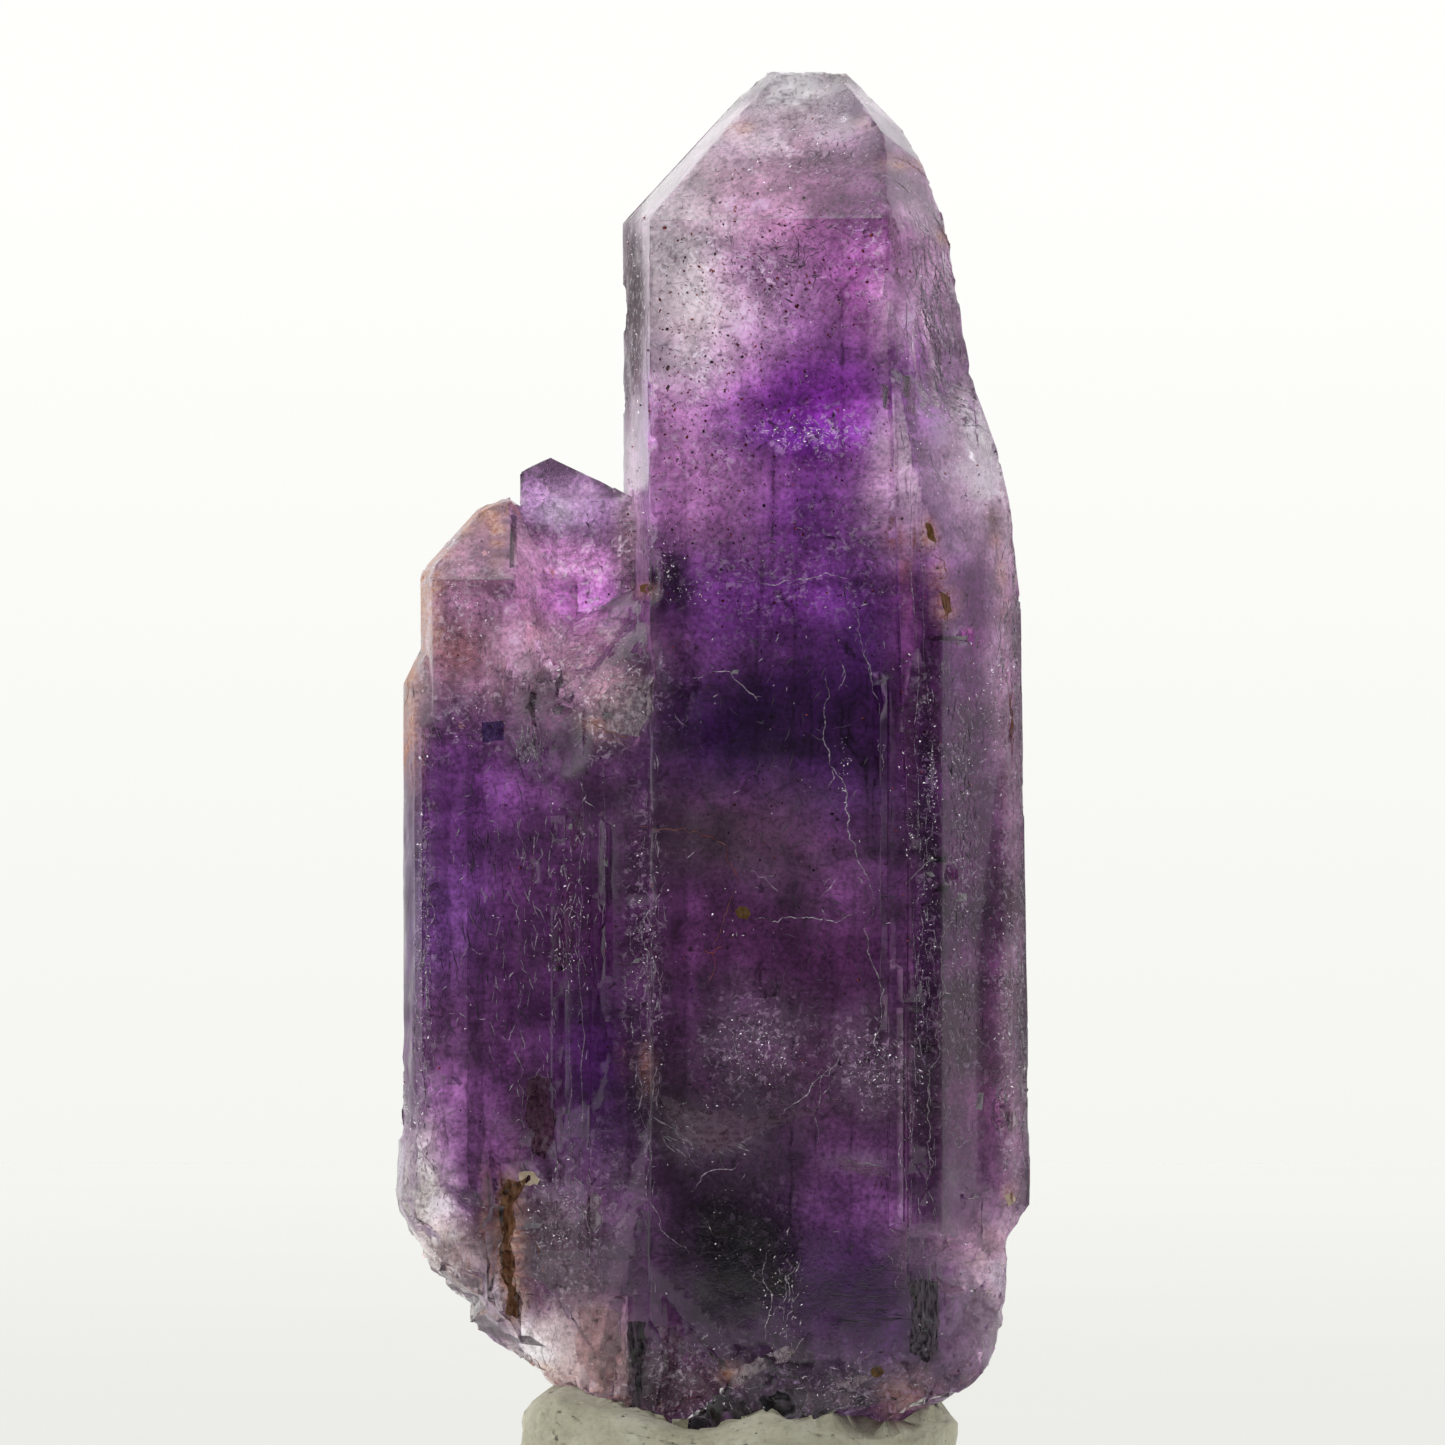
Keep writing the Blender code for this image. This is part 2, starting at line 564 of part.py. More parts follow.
def build_strips(collection):
    """Low growth strips: the ones that show on the front, then a seeded scatter over the back face."""
    strips = []
    for azimuth, x, z, *shape in FRONT_STRIPS:
        strips.append(strip_faces(azimuth, break_face(x, z), *shape))
    scatter = Random(STRIP_SEED)
    _, _, middle = main_side(AZIMUTH_BACK, MAIN_BACK)
    along = Vector((cos(radians(AZIMUTH_BACK)), sin(radians(AZIMUTH_BACK)), 0))
    for _ in range(BACK_STRIPS):
        place = middle + along * scatter.uniform(-4, 4) + Vector((0, 0, scatter.uniform(16, 56)))
        width = scatter.uniform(0.8, 3.0)
        height = scatter.uniform(6, 16)
        rise = scatter.uniform(0.08, 0.2)
        slant = scatter.choice((-1, 1)) * scatter.uniform(36, 52)
        strips.append(strip_faces(AZIMUTH_BACK, place, width, height, rise, slant))
    for number, faces in enumerate(strips):
        cut_block(f"strip_{number}", faces, collection)


def build_pits(collection):
    """Hopper pits with stepped walls: a wide shallow one holding a narrower deeper one."""
    for number, (azimuth, dip, point, width, height, depth, turn, sides) in enumerate(PITS):
        face = (azimuth, dip, point)
        pit(f"pit_{number}", face, (width, height, depth), turn, sides, collection)
        inner = (width * 0.6, height * 0.62, depth * 1.9)
        pit(f"pit_step_{number}", face, inner, turn, sides, collection)


def build_breaks(collection):
    """Shell-shaped scars at the tip, on the broken shoulder and round the root, and nicks along the edges."""
    for number, (azimuth, dip, point, *size) in enumerate(SCARS):
        scar(f"scar_{number}", (azimuth, dip, point), size, SCAR_DETAIL, collection)
    scatter = Random(NICK_SEED)
    for number, (azimuth, x, y, low, high) in enumerate(NICKED_EDGES * NICKS_PER_EDGE):
        z = scatter.uniform(low, high)
        dip = scatter.uniform(70, 110)
        size = (scatter.uniform(1.0, 1.8), scatter.uniform(0.7, 2.6), scatter.uniform(0.12, 0.3))
        face = (azimuth + scatter.uniform(-18, 18), dip, (x, y, z))
        scar(f"nick_{number}", face, size, NICK_DETAIL, collection)
    cut_block("triangular_break", triangular_break_faces(), collection)


def socket_faces():
    """The bodies whose lower ends reach into the putty."""
    return [main_crystal_faces(), right_lobe_faces(), pink_root_faces(), root_faces()]


def build_crystal(parts, joined, breaks, strips, pits):
    """The whole specimen as one solid: crystals and growth strips joined, then broken and pitted."""
    crystal = cut_block("amethyst_crystal", main_crystal_faces(), parts)
    bodies = {
        "overgrowth": overgrowth_faces(),
        "right_lobe": right_lobe_faces(),
        "left_crystal": left_crystal_faces(),
        "left_ledge": left_ledge_faces(),
        "left_foot": left_foot_faces(),
        "clear_wedge": clear_wedge_faces(),
        "pillar": pillar_faces(),
        "small_crystal": small_crystal_faces(),
        "middle_growth": middle_faces(),
        "shoulder": shoulder_faces(),
        "pink_root": pink_root_faces(),
        "root": root_faces(),
    }
    for name, faces in bodies.items():
        cut_block(name, faces, joined)
    build_strips(strips)
    build_breaks(breaks)
    build_pits(pits)
    add_boolean(crystal, "join crystals", "UNION", joined)
    add_boolean(crystal, "join strips", "UNION", strips)
    add_boolean(crystal, "break", "DIFFERENCE", breaks)
    add_boolean(crystal, "pit", "DIFFERENCE", pits)
    crystal.data.materials.append(plain_material("amethyst", AMETHYST_COLOUR, 0.12))
    return crystal


def putty_top(x):
    """Height of the lump's rim: mounds at both ends and a dip where the root's middle stands."""
    height = PUTTY_HEIGHT
    for middle, spread, rise in PUTTY_MOUNDS:
        height += rise * exp(-(((x - middle) / spread) ** 2))
    return height


def build_putty(parts, sockets):
    """A hand-pressed lump: upright sides, round shoulders, a lumpy rim, a flat foot and a socket."""
    bm = bmesh.new()
    bmesh.ops.create_uvsphere(bm, u_segments=PUTTY_SEGMENTS, v_segments=PUTTY_RINGS, radius=1)
    for vert in bm.verts:
        direction = vert.co.normalized()
        rise = direction.z
        level = copysign(abs(rise) ** PUTTY_ROUND, rise)
        reach = (1 - rise**2) ** (PUTTY_ROUND / 2)
        around = Vector((direction.x, direction.y, 0)).normalized()
        swell = 1 + 0.06 * noise.noise(direction * 1.6 + Vector((3.1, 0.4, 7.7)))
        swell += 0.03 * noise.noise(direction * 4.3 + Vector((9.2, 5.5, 1.3)))
        x = PUTTY_CENTRE_X + around.x * reach * PUTTY_HALF_WIDTH * swell
        y = PUTTY_CENTRE_Y + around.y * reach * PUTTY_HALF_DEPTH * swell
        top = putty_top(x) if level > 0 else PUTTY_HEIGHT
        z = PUTTY_WAIST + level * (top - PUTTY_WAIST)
        vert.co = Vector((x, y, z)) * MM
    cut = bmesh.ops.bisect_plane(
        bm,
        geom=bm.verts[:] + bm.edges[:] + bm.faces[:],
        plane_co=(0, 0, 0),
        plane_no=(0, 0, -1),
        clear_outer=True,
        dist=CUT_TOLERANCE,
    )
    rim = [part for part in cut["geom_cut"] if isinstance(part, bmesh.types.BMEdge)]
    bmesh.ops.contextual_create(bm, geom=rim)
    putty = finish_mesh(bm, "mounting_putty", parts)
    for number, faces in enumerate(socket_faces()):
        cut_block(f"socket_{number}", faces, sockets, grow=GAP)
    add_boolean(putty, "press in root", "DIFFERENCE", sockets)
    putty.data.materials.append(plain_material("putty", PUTTY_COLOUR, 0.75))
    return putty


def add_boolean(obj, name, operation, collection):
    modifier = obj.modifiers.new(name, "BOOLEAN")
    modifier.operation = operation
    modifier.operand_type = "COLLECTION"
    modifier.collection = collection
    modifier.solver = "EXACT"


def centre(collections):
    """Moves everything so that the middle of the object's box stands over the origin."""
    for collection in collections:
        for obj in collection.objects:
            obj.location = -Vector(BOX_MIDDLE) * MM


def hide_helpers(collections):
    for collection in collections:
        for obj in collection.objects:
            obj.hide_render = True
            obj.display_type = "WIRE"


def main():
    clear_scene()
    parts = new_collection(OBJECT_NAME)
    names = ("joined_crystals", "breaks", "growth_strips", "pits", "sockets")
    joined, breaks, strips, pits, sockets = map(new_collection, names)
    build_crystal(parts, joined, breaks, strips, pits)
    build_putty(parts, sockets)
    helpers = [joined, breaks, strips, pits, sockets]
    centre([parts, *helpers])
    hide_helpers(helpers)


main()
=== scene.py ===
"""Looks for the skeletal amethyst: the detailed crystal, what is inside it, its putty and a pale studio."""

from math import cos, pi, radians, sin
from random import Random

import bmesh
import bpy
import numpy as np
from mathutils import Matrix, Vector
from mathutils.bvhtree import BVHTree
from mathutils.kdtree import KDTree


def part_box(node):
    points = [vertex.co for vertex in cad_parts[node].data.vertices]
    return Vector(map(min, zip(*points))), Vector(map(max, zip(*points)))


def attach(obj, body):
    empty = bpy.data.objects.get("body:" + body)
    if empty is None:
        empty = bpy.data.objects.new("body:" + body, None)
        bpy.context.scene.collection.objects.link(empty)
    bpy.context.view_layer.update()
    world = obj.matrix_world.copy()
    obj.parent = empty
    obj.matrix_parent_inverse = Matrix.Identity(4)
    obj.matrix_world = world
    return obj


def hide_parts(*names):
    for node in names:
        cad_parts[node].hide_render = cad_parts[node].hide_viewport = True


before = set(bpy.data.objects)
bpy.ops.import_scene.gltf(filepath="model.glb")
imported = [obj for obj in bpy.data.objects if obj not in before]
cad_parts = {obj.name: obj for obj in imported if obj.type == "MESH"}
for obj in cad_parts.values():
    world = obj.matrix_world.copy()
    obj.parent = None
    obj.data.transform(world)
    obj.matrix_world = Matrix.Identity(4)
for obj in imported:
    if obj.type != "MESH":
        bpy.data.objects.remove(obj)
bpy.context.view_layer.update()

MM = 0.001

# The photograph is 1445 pixels wide and 20 of its pixels are a millimetre
PHOTO_SIZE = 1445
PIXELS_PER_MM = 20.0
PHOTO_X_OF_ORIGIN = 711.5
PHOTO_Y_OF_ORIGIN = 1520.0

# Spacing of the cuts that give flat faces points to shape, in mm, and how far along it the first cut is
CRYSTAL_GRID = (0.4, 0.5, 0.38)
PUTTY_GRID = (0.45, 0.45, 0.4)
FIRST_CUT = 0.63

CRYSTAL_SHARP_ANGLE = radians(24)
PUTTY_SHARP_ANGLE = radians(70)

QUARTZ_IOR = 1.544
WATER_IOR = 1.33
WATER_TO_QUARTZ_IOR = 1.16
FILM_IOR = 1.08


def photo_xz(px, py):
    """Where a pixel of the photograph is, as x and z in mm."""
    return (px - PHOTO_X_OF_ORIGIN) / PIXELS_PER_MM, (PHOTO_Y_OF_ORIGIN - py) / PIXELS_PER_MM


def linear(colour):
    """A colour given as 0 to 255 screen values, as light values."""
    return tuple((value / 255) ** 2.2 for value in colour)


# Noise over points in mm. Its last whole number is a seed, so it is the same in each run


def lattice(cells, seed):
    """A repeatable random number from 0 to 1 for each whole-numbered cell."""
    x, y, z = (cells[:, axis].astype(np.int64) for axis in range(3))
    mixed = (x * 73856093) ^ (y * 19349663) ^ (z * 83492791) ^ (seed * 2654435761)
    mixed = (mixed ^ (mixed >> 13)) * 1274126177
    return ((mixed ^ (mixed >> 16)) & 0xFFFFFF) / 0xFFFFFF


def smooth_noise(points, size, seed):
    """Noise from -1 to 1, with lumps as wide as size: one number or one for each axis."""
    scaled = points / np.asarray(size, float)
    base = np.floor(scaled)
    part = scaled - base
    ease = part * part * (3 - 2 * part)
    total = np.zeros(len(points))
    for corner in range(8):
        step = np.array([corner & 1, corner >> 1 & 1, corner >> 2 & 1])
        weight = np.prod(np.where(step, ease, 1 - ease), axis=1)
        total += weight * lattice(base + step, seed)
    return total * 2 - 1


def rough_noise(points, size, seed, octaves=4):
    """Noise with finer and finer detail."""
    total = np.zeros(len(points))
    share = 1.0
    for octave in range(octaves):
        total += share * smooth_noise(points, np.asarray(size, float) / 2**octave, seed + octave)
        share *= 0.5
    return total


# Meshes


def add_object(name, mesh, material):
    obj = bpy.data.objects.new(name, mesh)
    bpy.context.scene.collection.objects.link(obj)
    obj.data.materials.append(material)
    return obj


def mesh_of(bm, name):
    """A new mesh with what a bmesh holds."""
    mesh = bpy.data.meshes.new(name)
    bm.to_mesh(mesh)
    bm.free()
    return mesh


def rows_of(items, name, width, kind=float):
    """One property of all of a mesh's points or edges, with a row for each."""
    flat = np.empty(len(items) * width, kind)
    items.foreach_get(name, flat)
    return flat.reshape(-1, width)


def points_of(mesh):
    """A mesh's points in mm."""
    return rows_of(mesh.vertices, "co", 3) / MM


def normals_of(mesh):
    return rows_of(mesh.vertices, "normal", 3)


def set_points(mesh, points, node):
    """Moves a mesh's points, in mm, but not out of a CAD node's box."""
    lowest, highest = (np.array(corner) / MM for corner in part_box(node))
    mesh.vertices.foreach_set("co", (np.clip(points, lowest, highest) * MM).ravel())
    mesh.update()


def search_tree(points, mesh):
    """A tree that finds a mesh's faces, with its points at these places."""
    faces = [tuple(face.vertices) for face in mesh.polygons]
    return BVHTree.FromPolygons([tuple(point) for point in points], faces)


def along(axis, value):
    """A vector along x, y or z."""
    vector = Vector((0, 0, 0))
    vector[axis] = value
    return vector


def cut(bm, axis, place, reach):
    """Cuts a shape with the plane through a place and square to an axis."""
    everything = bm.verts[:] + bm.edges[:] + bm.faces[:]
    bmesh.ops.bisect_plane(bm, geom=everything, plane_co=place, plane_no=along(axis, 1), dist=reach)


def gridded(node, spacing):
    """A node's shape with its flat faces cut along x, y and z, so that each has points to shape."""
    bm = bmesh.new()
    bm.from_mesh(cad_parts[node].data)
    bmesh.ops.remove_doubles(bm, verts=bm.verts[:], dist=2e-6)
    bmesh.ops.dissolve_limit(bm, angle_limit=0.004, verts=bm.verts[:], edges=bm.edges[:])
    lowest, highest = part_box(node)
    for axis in (2, 0, 1):
        step = spacing[axis] * MM
        place = along(axis, lowest[axis] + step * FIRST_CUT)
        while place[axis] < highest[axis]:
            cut(bm, axis, place, 1e-7)
            place[axis] += step
    bmesh.ops.triangulate(bm, faces=[face for face in bm.faces if len(face.verts) > 4])
    return bm


def mark_sharp(bm, angle):
    """Smooth faces with sharp edges. Returns which points lie on a sharp edge."""
    bm.verts.index_update()
    on_edge = np.zeros(len(bm.verts), bool)
    for face in bm.faces:
        face.smooth = True
    for edge in bm.edges:
        if len(edge.link_faces) == 2 and edge.calc_face_angle() > angle:
            edge.smooth = False
            for vert in edge.verts:
                on_edge[vert.index] = True
    return on_edge


# Places on the crystal. In each table a row starts with a middle and two half-widths, in photo pixels

# Light crosses two tinted faces and may come in through paler ones, so the zones are deepened
TINT_POWER = 1.4
TINT_GAIN = 1.25
GREYNESS = 0.1
BODY_COLOUR = (118, 82, 122)

# Colour zones: colour and strength, each laid over the ones before
ZONES = [
    # the tall crystal, from the tip down
    (800, 90, 90, 60, (255, 252, 252), 1.0), (700, 200, 70, 60, (244, 228, 236), 0.9),
    (780, 190, 80, 50, (220, 172, 200), 0.8), (690, 300, 60, 80, (255, 242, 242), 0.95),
    (790, 265, 60, 40, (184, 142, 180), 0.8), (872, 260, 35, 70, (150, 84, 148), 0.9),
    (930, 290, 40, 110, (206, 184, 196), 0.85), (700, 430, 60, 80, (198, 150, 194), 0.85),
    (820, 410, 70, 60, (134, 48, 156), 0.95), (760, 340, 60, 40, (196, 150, 196), 0.6),
    (812, 436, 46, 13, (170, 66, 220), 0.4), (720, 500, 80, 40, (176, 130, 174), 0.8),
    (830, 510, 60, 40, (130, 66, 150), 0.8), (955, 470, 50, 70, (252, 234, 246), 1.0),
    (890, 480, 22, 60, (214, 176, 206), 0.6), (780, 600, 130, 55, (124, 66, 142), 0.9),
    (670, 580, 25, 35, (34, 22, 44), 0.8), (750, 720, 110, 60, (62, 26, 80), 0.97),
    (870, 690, 50, 120, (74, 34, 94), 0.9), (965, 640, 50, 110, (166, 100, 160), 0.85),
    (965, 860, 50, 140, (116, 58, 112), 0.85), (740, 835, 90, 45, (72, 40, 64), 0.9),
    (780, 970, 150, 100, (98, 58, 98), 0.9), (700, 1110, 90, 60, (58, 36, 56), 0.8),
    (830, 1090, 70, 60, (80, 48, 76), 0.7), (970, 1080, 50, 110, (126, 78, 116), 0.85),
    (925, 900, 14, 330, (60, 40, 70), 0.8), (745, 1260, 62, 95, (14, 3, 24), 0.98),
    (865, 1290, 70, 60, (88, 50, 104), 0.9), (985, 1290, 40, 70, (240, 218, 230), 1.0),
    (920, 1315, 18, 40, (44, 34, 44), 0.9), (965, 1238, 45, 24, (176, 150, 156), 0.8),
    (840, 1390, 90, 30, (74, 54, 72), 0.7), (634, 320, 12, 120, (72, 56, 60), 1.0),
    (634, 500, 12, 90, (190, 164, 176), 0.9), (958, 822, 15, 18, (78, 48, 78), 0.7),
    (960, 756, 15, 46, (156, 114, 146), 0.5), (1001, 676, 13, 26, (252, 232, 240), 0.9),
    (1002, 728, 8, 26, (228, 194, 210), 0.7), (962, 1010, 16, 40, (134, 92, 122), 0.6),
    (962, 1130, 16, 30, (92, 56, 88), 0.6), (1004, 620, 14, 150, (226, 204, 212), 0.9),
    (1012, 960, 10, 230, (190, 170, 174), 0.8), (1025, 980, 5, 230, (96, 74, 84), 0.8),
    (1018, 640, 4, 90, (120, 96, 108), 0.7), (640, 585, 14, 30, (40, 22, 48), 0.7),
    # the left crystal and what grows between
    (412, 640, 18, 120, (255, 232, 214), 1.0), (480, 560, 60, 60, (214, 176, 190), 0.9),
    (500, 670, 70, 60, (192, 156, 176), 0.85), (498, 592, 20, 36, (112, 78, 104), 0.8),
    (462, 655, 20, 26, (150, 104, 96), 0.6), (470, 810, 60, 70, (136, 84, 150), 0.9),
    (450, 930, 50, 70, (140, 96, 160), 0.85), (440, 1080, 50, 80, (172, 124, 176), 0.85),
    (540, 960, 60, 140, (98, 58, 104), 0.85), (610, 900, 30, 150, (92, 52, 96), 0.8),
    (600, 1090, 40, 90, (74, 34, 90), 0.85), (540, 1115, 18, 44, (50, 24, 44), 0.8),
    (415, 1190, 35, 60, (255, 250, 242), 1.0), (445, 1260, 40, 30, (255, 238, 230), 0.95),
    (515, 1250, 22, 60, (70, 38, 26), 0.85), (560, 1250, 45, 50, (84, 58, 70), 0.85),
    (470, 1310, 40, 24, (226, 222, 220), 0.9), (600, 1360, 36, 50, (224, 194, 190), 1.0),
    (680, 1385, 50, 40, (96, 78, 84), 0.85), (780, 1400, 50, 30, (70, 44, 76), 0.85),
    (637, 1365, 12, 46, (62, 46, 52), 0.9), (412, 930, 10, 170, (92, 62, 108), 0.8),
    (550, 1350, 30, 34, (236, 226, 220), 0.9), (540, 1350, 30, 26, (255, 250, 248), 1.0),
    # the small crystal in the crook and the broken shoulder
    (570, 500, 60, 26, (214, 176, 224), 0.95), (558, 512, 16, 14, (206, 190, 214), 0.8),
    (565, 560, 60, 26, (222, 168, 216), 0.95), (575, 600, 50, 24, (226, 140, 232), 0.95),
    (615, 640, 45, 30, (190, 144, 178), 0.9), (545, 650, 30, 40, (160, 132, 150), 0.8),
    (622, 705, 32, 30, (190, 162, 168), 0.9),
]

# Rusty stains, and their strength
STAINS = [
    (412, 640, 10, 70, 1.0), (425, 560, 14, 30, 0.9), (470, 520, 22, 14, 0.7), (497, 530, 8, 34, 0.9),
    (410, 740, 8, 60, 0.8), (427, 604, 12, 56, 1.0), (440, 552, 10, 14, 1.0), (462, 527, 12, 12, 1.0),
    (484, 508, 12, 10, 1.0), (498, 497, 8, 8, 1.0), (600, 724, 16, 5, 0.4), (928, 532, 8, 14, 0.9),
    (938, 568, 8, 16, 0.9), (946, 604, 10, 16, 0.8), (942, 240, 6, 8, 0.8), (905, 168, 22, 6, 0.8),
    (738, 128, 16, 10, 0.6), (646, 590, 8, 6, 0.9), (646, 1070, 6, 22, 0.4), (513, 1250, 10, 66, 0.9),
    (545, 1375, 24, 14, 0.7), (610, 1405, 20, 8, 0.7), (728, 1372, 10, 8, 0.7), (905, 1390, 24, 20, 0.5),
    (1010, 1190, 8, 12, 0.5),
]

# Milky and frosted places, and their strength
HAZES = [
    (800, 88, 60, 30, 1.0), (805, 76, 50, 12, 1.0), (700, 280, 60, 90, 0.15), (930, 300, 30, 70, 0.3),
    (950, 470, 50, 60, 0.1), (558, 510, 16, 14, 0.6), (531, 688, 18, 34, 0.9), (440, 620, 30, 90, 0.15),
    (412, 1190, 28, 70, 0.5), (450, 1260, 50, 40, 0.4), (560, 1240, 60, 60, 0.35), (600, 1360, 40, 50, 0.3),
    (620, 700, 34, 34, 0.2), (545, 650, 40, 60, 0.3), (735, 1120, 80, 50, 0.1), (703, 1126, 44, 24, 0.6),
    (860, 1162, 30, 8, 0.5), (960, 1240, 50, 24, 0.5), (985, 1290, 40, 70, 0.2), (870, 1390, 90, 30, 0.4),
    (760, 1050, 50, 50, 0.3), (875, 1060, 40, 50, 0.3), (740, 830, 120, 60, 0.15),
    (1010, 1120, 14, 80, 0.5), (408, 960, 8, 140, 0.4),
]

# Places full of small painted glints, and their strength
PAINTED_GLINT_PLACES = [
    (700, 290, 60, 80, 1.0), (745, 280, 44, 40, 0.8), (690, 400, 50, 60, 0.6), (800, 435, 60, 24, 0.5),
    (815, 140, 60, 44, 0.8), (634, 330, 14, 130, 0.7), (634, 500, 12, 80, 0.8), (960, 460, 46, 60, 0.9),
    (930, 300, 36, 120, 0.5), (962, 720, 20, 100, 0.3), (962, 940, 22, 200, 0.3), (1004, 660, 14, 150, 0.9),
    (1012, 1000, 12, 200, 0.8), (620, 700, 42, 42, 0.7), (560, 650, 60, 50, 0.7), (575, 560, 50, 60, 0.5),
    (430, 600, 20, 80, 0.5), (760, 1050, 46, 40, 0.6), (876, 1062, 36, 36, 0.5), (408, 1180, 26, 70, 0.8),
    (450, 1260, 50, 40, 0.6), (560, 1240, 60, 70, 0.22), (600, 1360, 36, 40, 0.4), (470, 600, 50, 80, 0.4),
    (470, 700, 60, 60, 0.4), (745, 1250, 50, 80, 0.03), (800, 560, 120, 60, 0.15), (870, 250, 30, 60, 0.3),
    (985, 1290, 36, 70, 0.3), (870, 1390, 80, 30, 0.6), (690, 1380, 50, 40, 0.5), (925, 760, 10, 70, 0.25),
    (925, 950, 10, 90, 0.2), (645, 960, 16, 180, 0.4), (424, 960, 10, 200, 0.5),
]

# Places with a rubbed skin, and their strength
RUBBED = [
    (965, 760, 40, 420, 1.0), (700, 300, 60, 110, 0.25), (815, 140, 60, 40, 0.8), (930, 300, 34, 120, 0.8),
    (560, 690, 80, 60, 0.6), (640, 900, 30, 240, 0.4),
]

# Matt places that don't mirror the studio, and their strength
MATTS = [
    (632, 310, 12, 110, 1.0), (410, 900, 8, 300, 0.5), (1012, 900, 10, 300, 0.4), (800, 80, 60, 16, 0.3),
]

# Places broken into facets, and their strength
BROKEN = [
    (800, 85, 60, 22, 0.6), (600, 690, 80, 60, 0.5), (540, 740, 60, 30, 0.5), (960, 300, 30, 120, 0.35),
    (410, 1160, 40, 90, 0.7), (470, 1290, 90, 60, 0.9), (560, 1350, 60, 50, 0.5), (700, 1380, 120, 50, 1.0),
    (880, 1390, 120, 46, 1.0), (990, 1290, 50, 90, 0.6), (550, 1200, 40, 70, 0.6),
]

# Places where narrow steps and scars are worn down to the face around them
WORN = [
    (528, 700, 26, 62), (565, 733, 24, 42), (468, 1000, 44, 240),
]
# How far from the face around it a worn point may have been, and how near its points are, in mm
WORN_REACH = 1.6
WORN_CLOSE = 0.1
FITTING_ROUNDS = 8
SPREADING_ROUNDS = 300


def zone_weight(x, z, middle_x, middle_z, half_x, half_z):
    """1 in a zone's middle, falling to 0 a little outside its half-widths."""
    across = (x - middle_x) / half_x
    up = (z - middle_z) / half_z
    return np.exp(-((across**2 + up**2) ** 1.3) * 0.8)


def warp_of(points):
    """How far x and z are pushed about at each point, in mm, so that no zone has a smooth outline."""
    across = 1.0 * rough_noise(points, 5.0, 21) + 0.35 * rough_noise(points, 1.2, 31)
    up = 1.3 * rough_noise(points, 6.0, 41) + 0.4 * rough_noise(points, 1.3, 51)
    return across, up


def zone_in_mm(px, py, half_px, half_py):
    x, z = photo_xz(px, py)
    return x, z, half_px / PIXELS_PER_MM, half_py / PIXELS_PER_MM


def warped_weight(points, warp, place):
    """A zone's weight at each point. Wide zones get more uneven outlines than narrow ones."""
    middle_x, middle_z, half_x, half_z = zone_in_mm(*place)
    x = points[:, 0] + warp[0] * min(1.0, half_x / 3)
    z = points[:, 2] + warp[1] * min(1.0, half_z / 3)
    return zone_weight(x, z, middle_x, middle_z, half_x, half_z)


def spread_of(points, places, seed):
    """The strongest of several soft patches at each point, broken up by noise."""
    warp = warp_of(points)
    total = np.zeros(len(points))
    for *place, strength in places:
        total = np.maximum(total, strength * warped_weight(points, warp, place))
    return np.clip(total * (1 + 0.6 * rough_noise(points, 0.9, seed)), 0, 1)


def crystal_tint(points, normals):
    """The crystal's colour at each point. The faces at the front carry more of it than those at the back."""
    warp = warp_of(points)
    tint = np.tile(linear(BODY_COLOUR), (len(points), 1))
    for *place, colour, strength in ZONES:
        weight = strength * warped_weight(points, warp, place)
        tint += weight[:, None] * (np.array(linear(colour)) - tint)
    clouds = rough_noise(points, (3.2, 3.2, 2.6), 201, 4)
    bands = rough_noise(points, (4.0, 4.0, 0.9), 211, 3)
    streaks = rough_noise(points, (0.9, 0.9, 6.0), 221, 3)
    lively = 1 + 0.9 * spread_of(points, RUBBED, 231)
    level = np.exp((0.42 * clouds + 0.24 * bands + 0.2 * streaks) * lively)
    tint += GREYNESS * (tint.mean(axis=1)[:, None] - tint)
    power = TINT_POWER * (1 - 0.4 * np.clip(normals[:, 1] * 1.5, -1, 1))
    return np.clip(TINT_GAIN * (tint * level[:, None]) ** power[:, None], 0, 1)


# Materials


class Nodes:
    """Short names for making the nodes of a tree."""

    def __init__(self, tree):
        self.tree = tree

    def add(self, kind, **settings):
        node = self.tree.nodes.new(kind)
        for key, value in settings.items():
            setattr(node, key, value)
        return node

    def put(self, value, socket):
        """Links an output to a socket, or sets the socket's own value."""
        if isinstance(value, bpy.types.NodeSocket):
            self.tree.links.new(value, socket)
        elif value is not None:
            socket.default_value = (*value, 1) if socket.type == "RGBA" else value

    def fill(self, node, **values):
        """Puts values into the sockets with these names, where _ stands for a space."""
        for name, value in values.items():
            self.put(value, node.inputs[name.replace("_", " ")])
        return node.outputs

    def fill_in_turn(self, node, *values):
        for value, socket in zip(values, node.inputs):
            self.put(value, socket)
        return node.outputs

    def math(self, operation, a, b=None, clamp=False):
        node = self.add("ShaderNodeMath", operation=operation, use_clamp=clamp)
        return self.fill_in_turn(node, a, b)[0]

    def plus(self, a, b, clamp=False):
        return self.math("ADD", a, b, clamp)

    def times(self, a, b, clamp=False):
        return self.math("MULTIPLY", a, b, clamp)

    def vector(self, operation, a, b=None, scale=None, output="Vector"):
        node = self.add("ShaderNodeVectorMath", operation=operation)
        return self.fill_in_turn(node, a, b, None, scale)[output]

    def ramp(self, value, low, high, to_low=0.0, to_high=1.0, kind="SMOOTHSTEP"):
        node = self.add("ShaderNodeMapRange", interpolation_type=kind)
        self.fill(node, Value=value, From_Min=low, From_Max=high, To_Min=to_low, To_Max=to_high)
        return node.outputs["Result"]

    def mix(self, factor, a, b, blend="MIX"):
        node = self.add("ShaderNodeMix", data_type="RGBA", blend_type=blend)
        return self.fill(node, Factor=factor, A=a, B=b)["Result"]

    def split(self, colour):
        """A colour's red, green and blue."""
        return self.fill_in_turn(self.add("ShaderNodeSeparateColor"), colour)[:3]


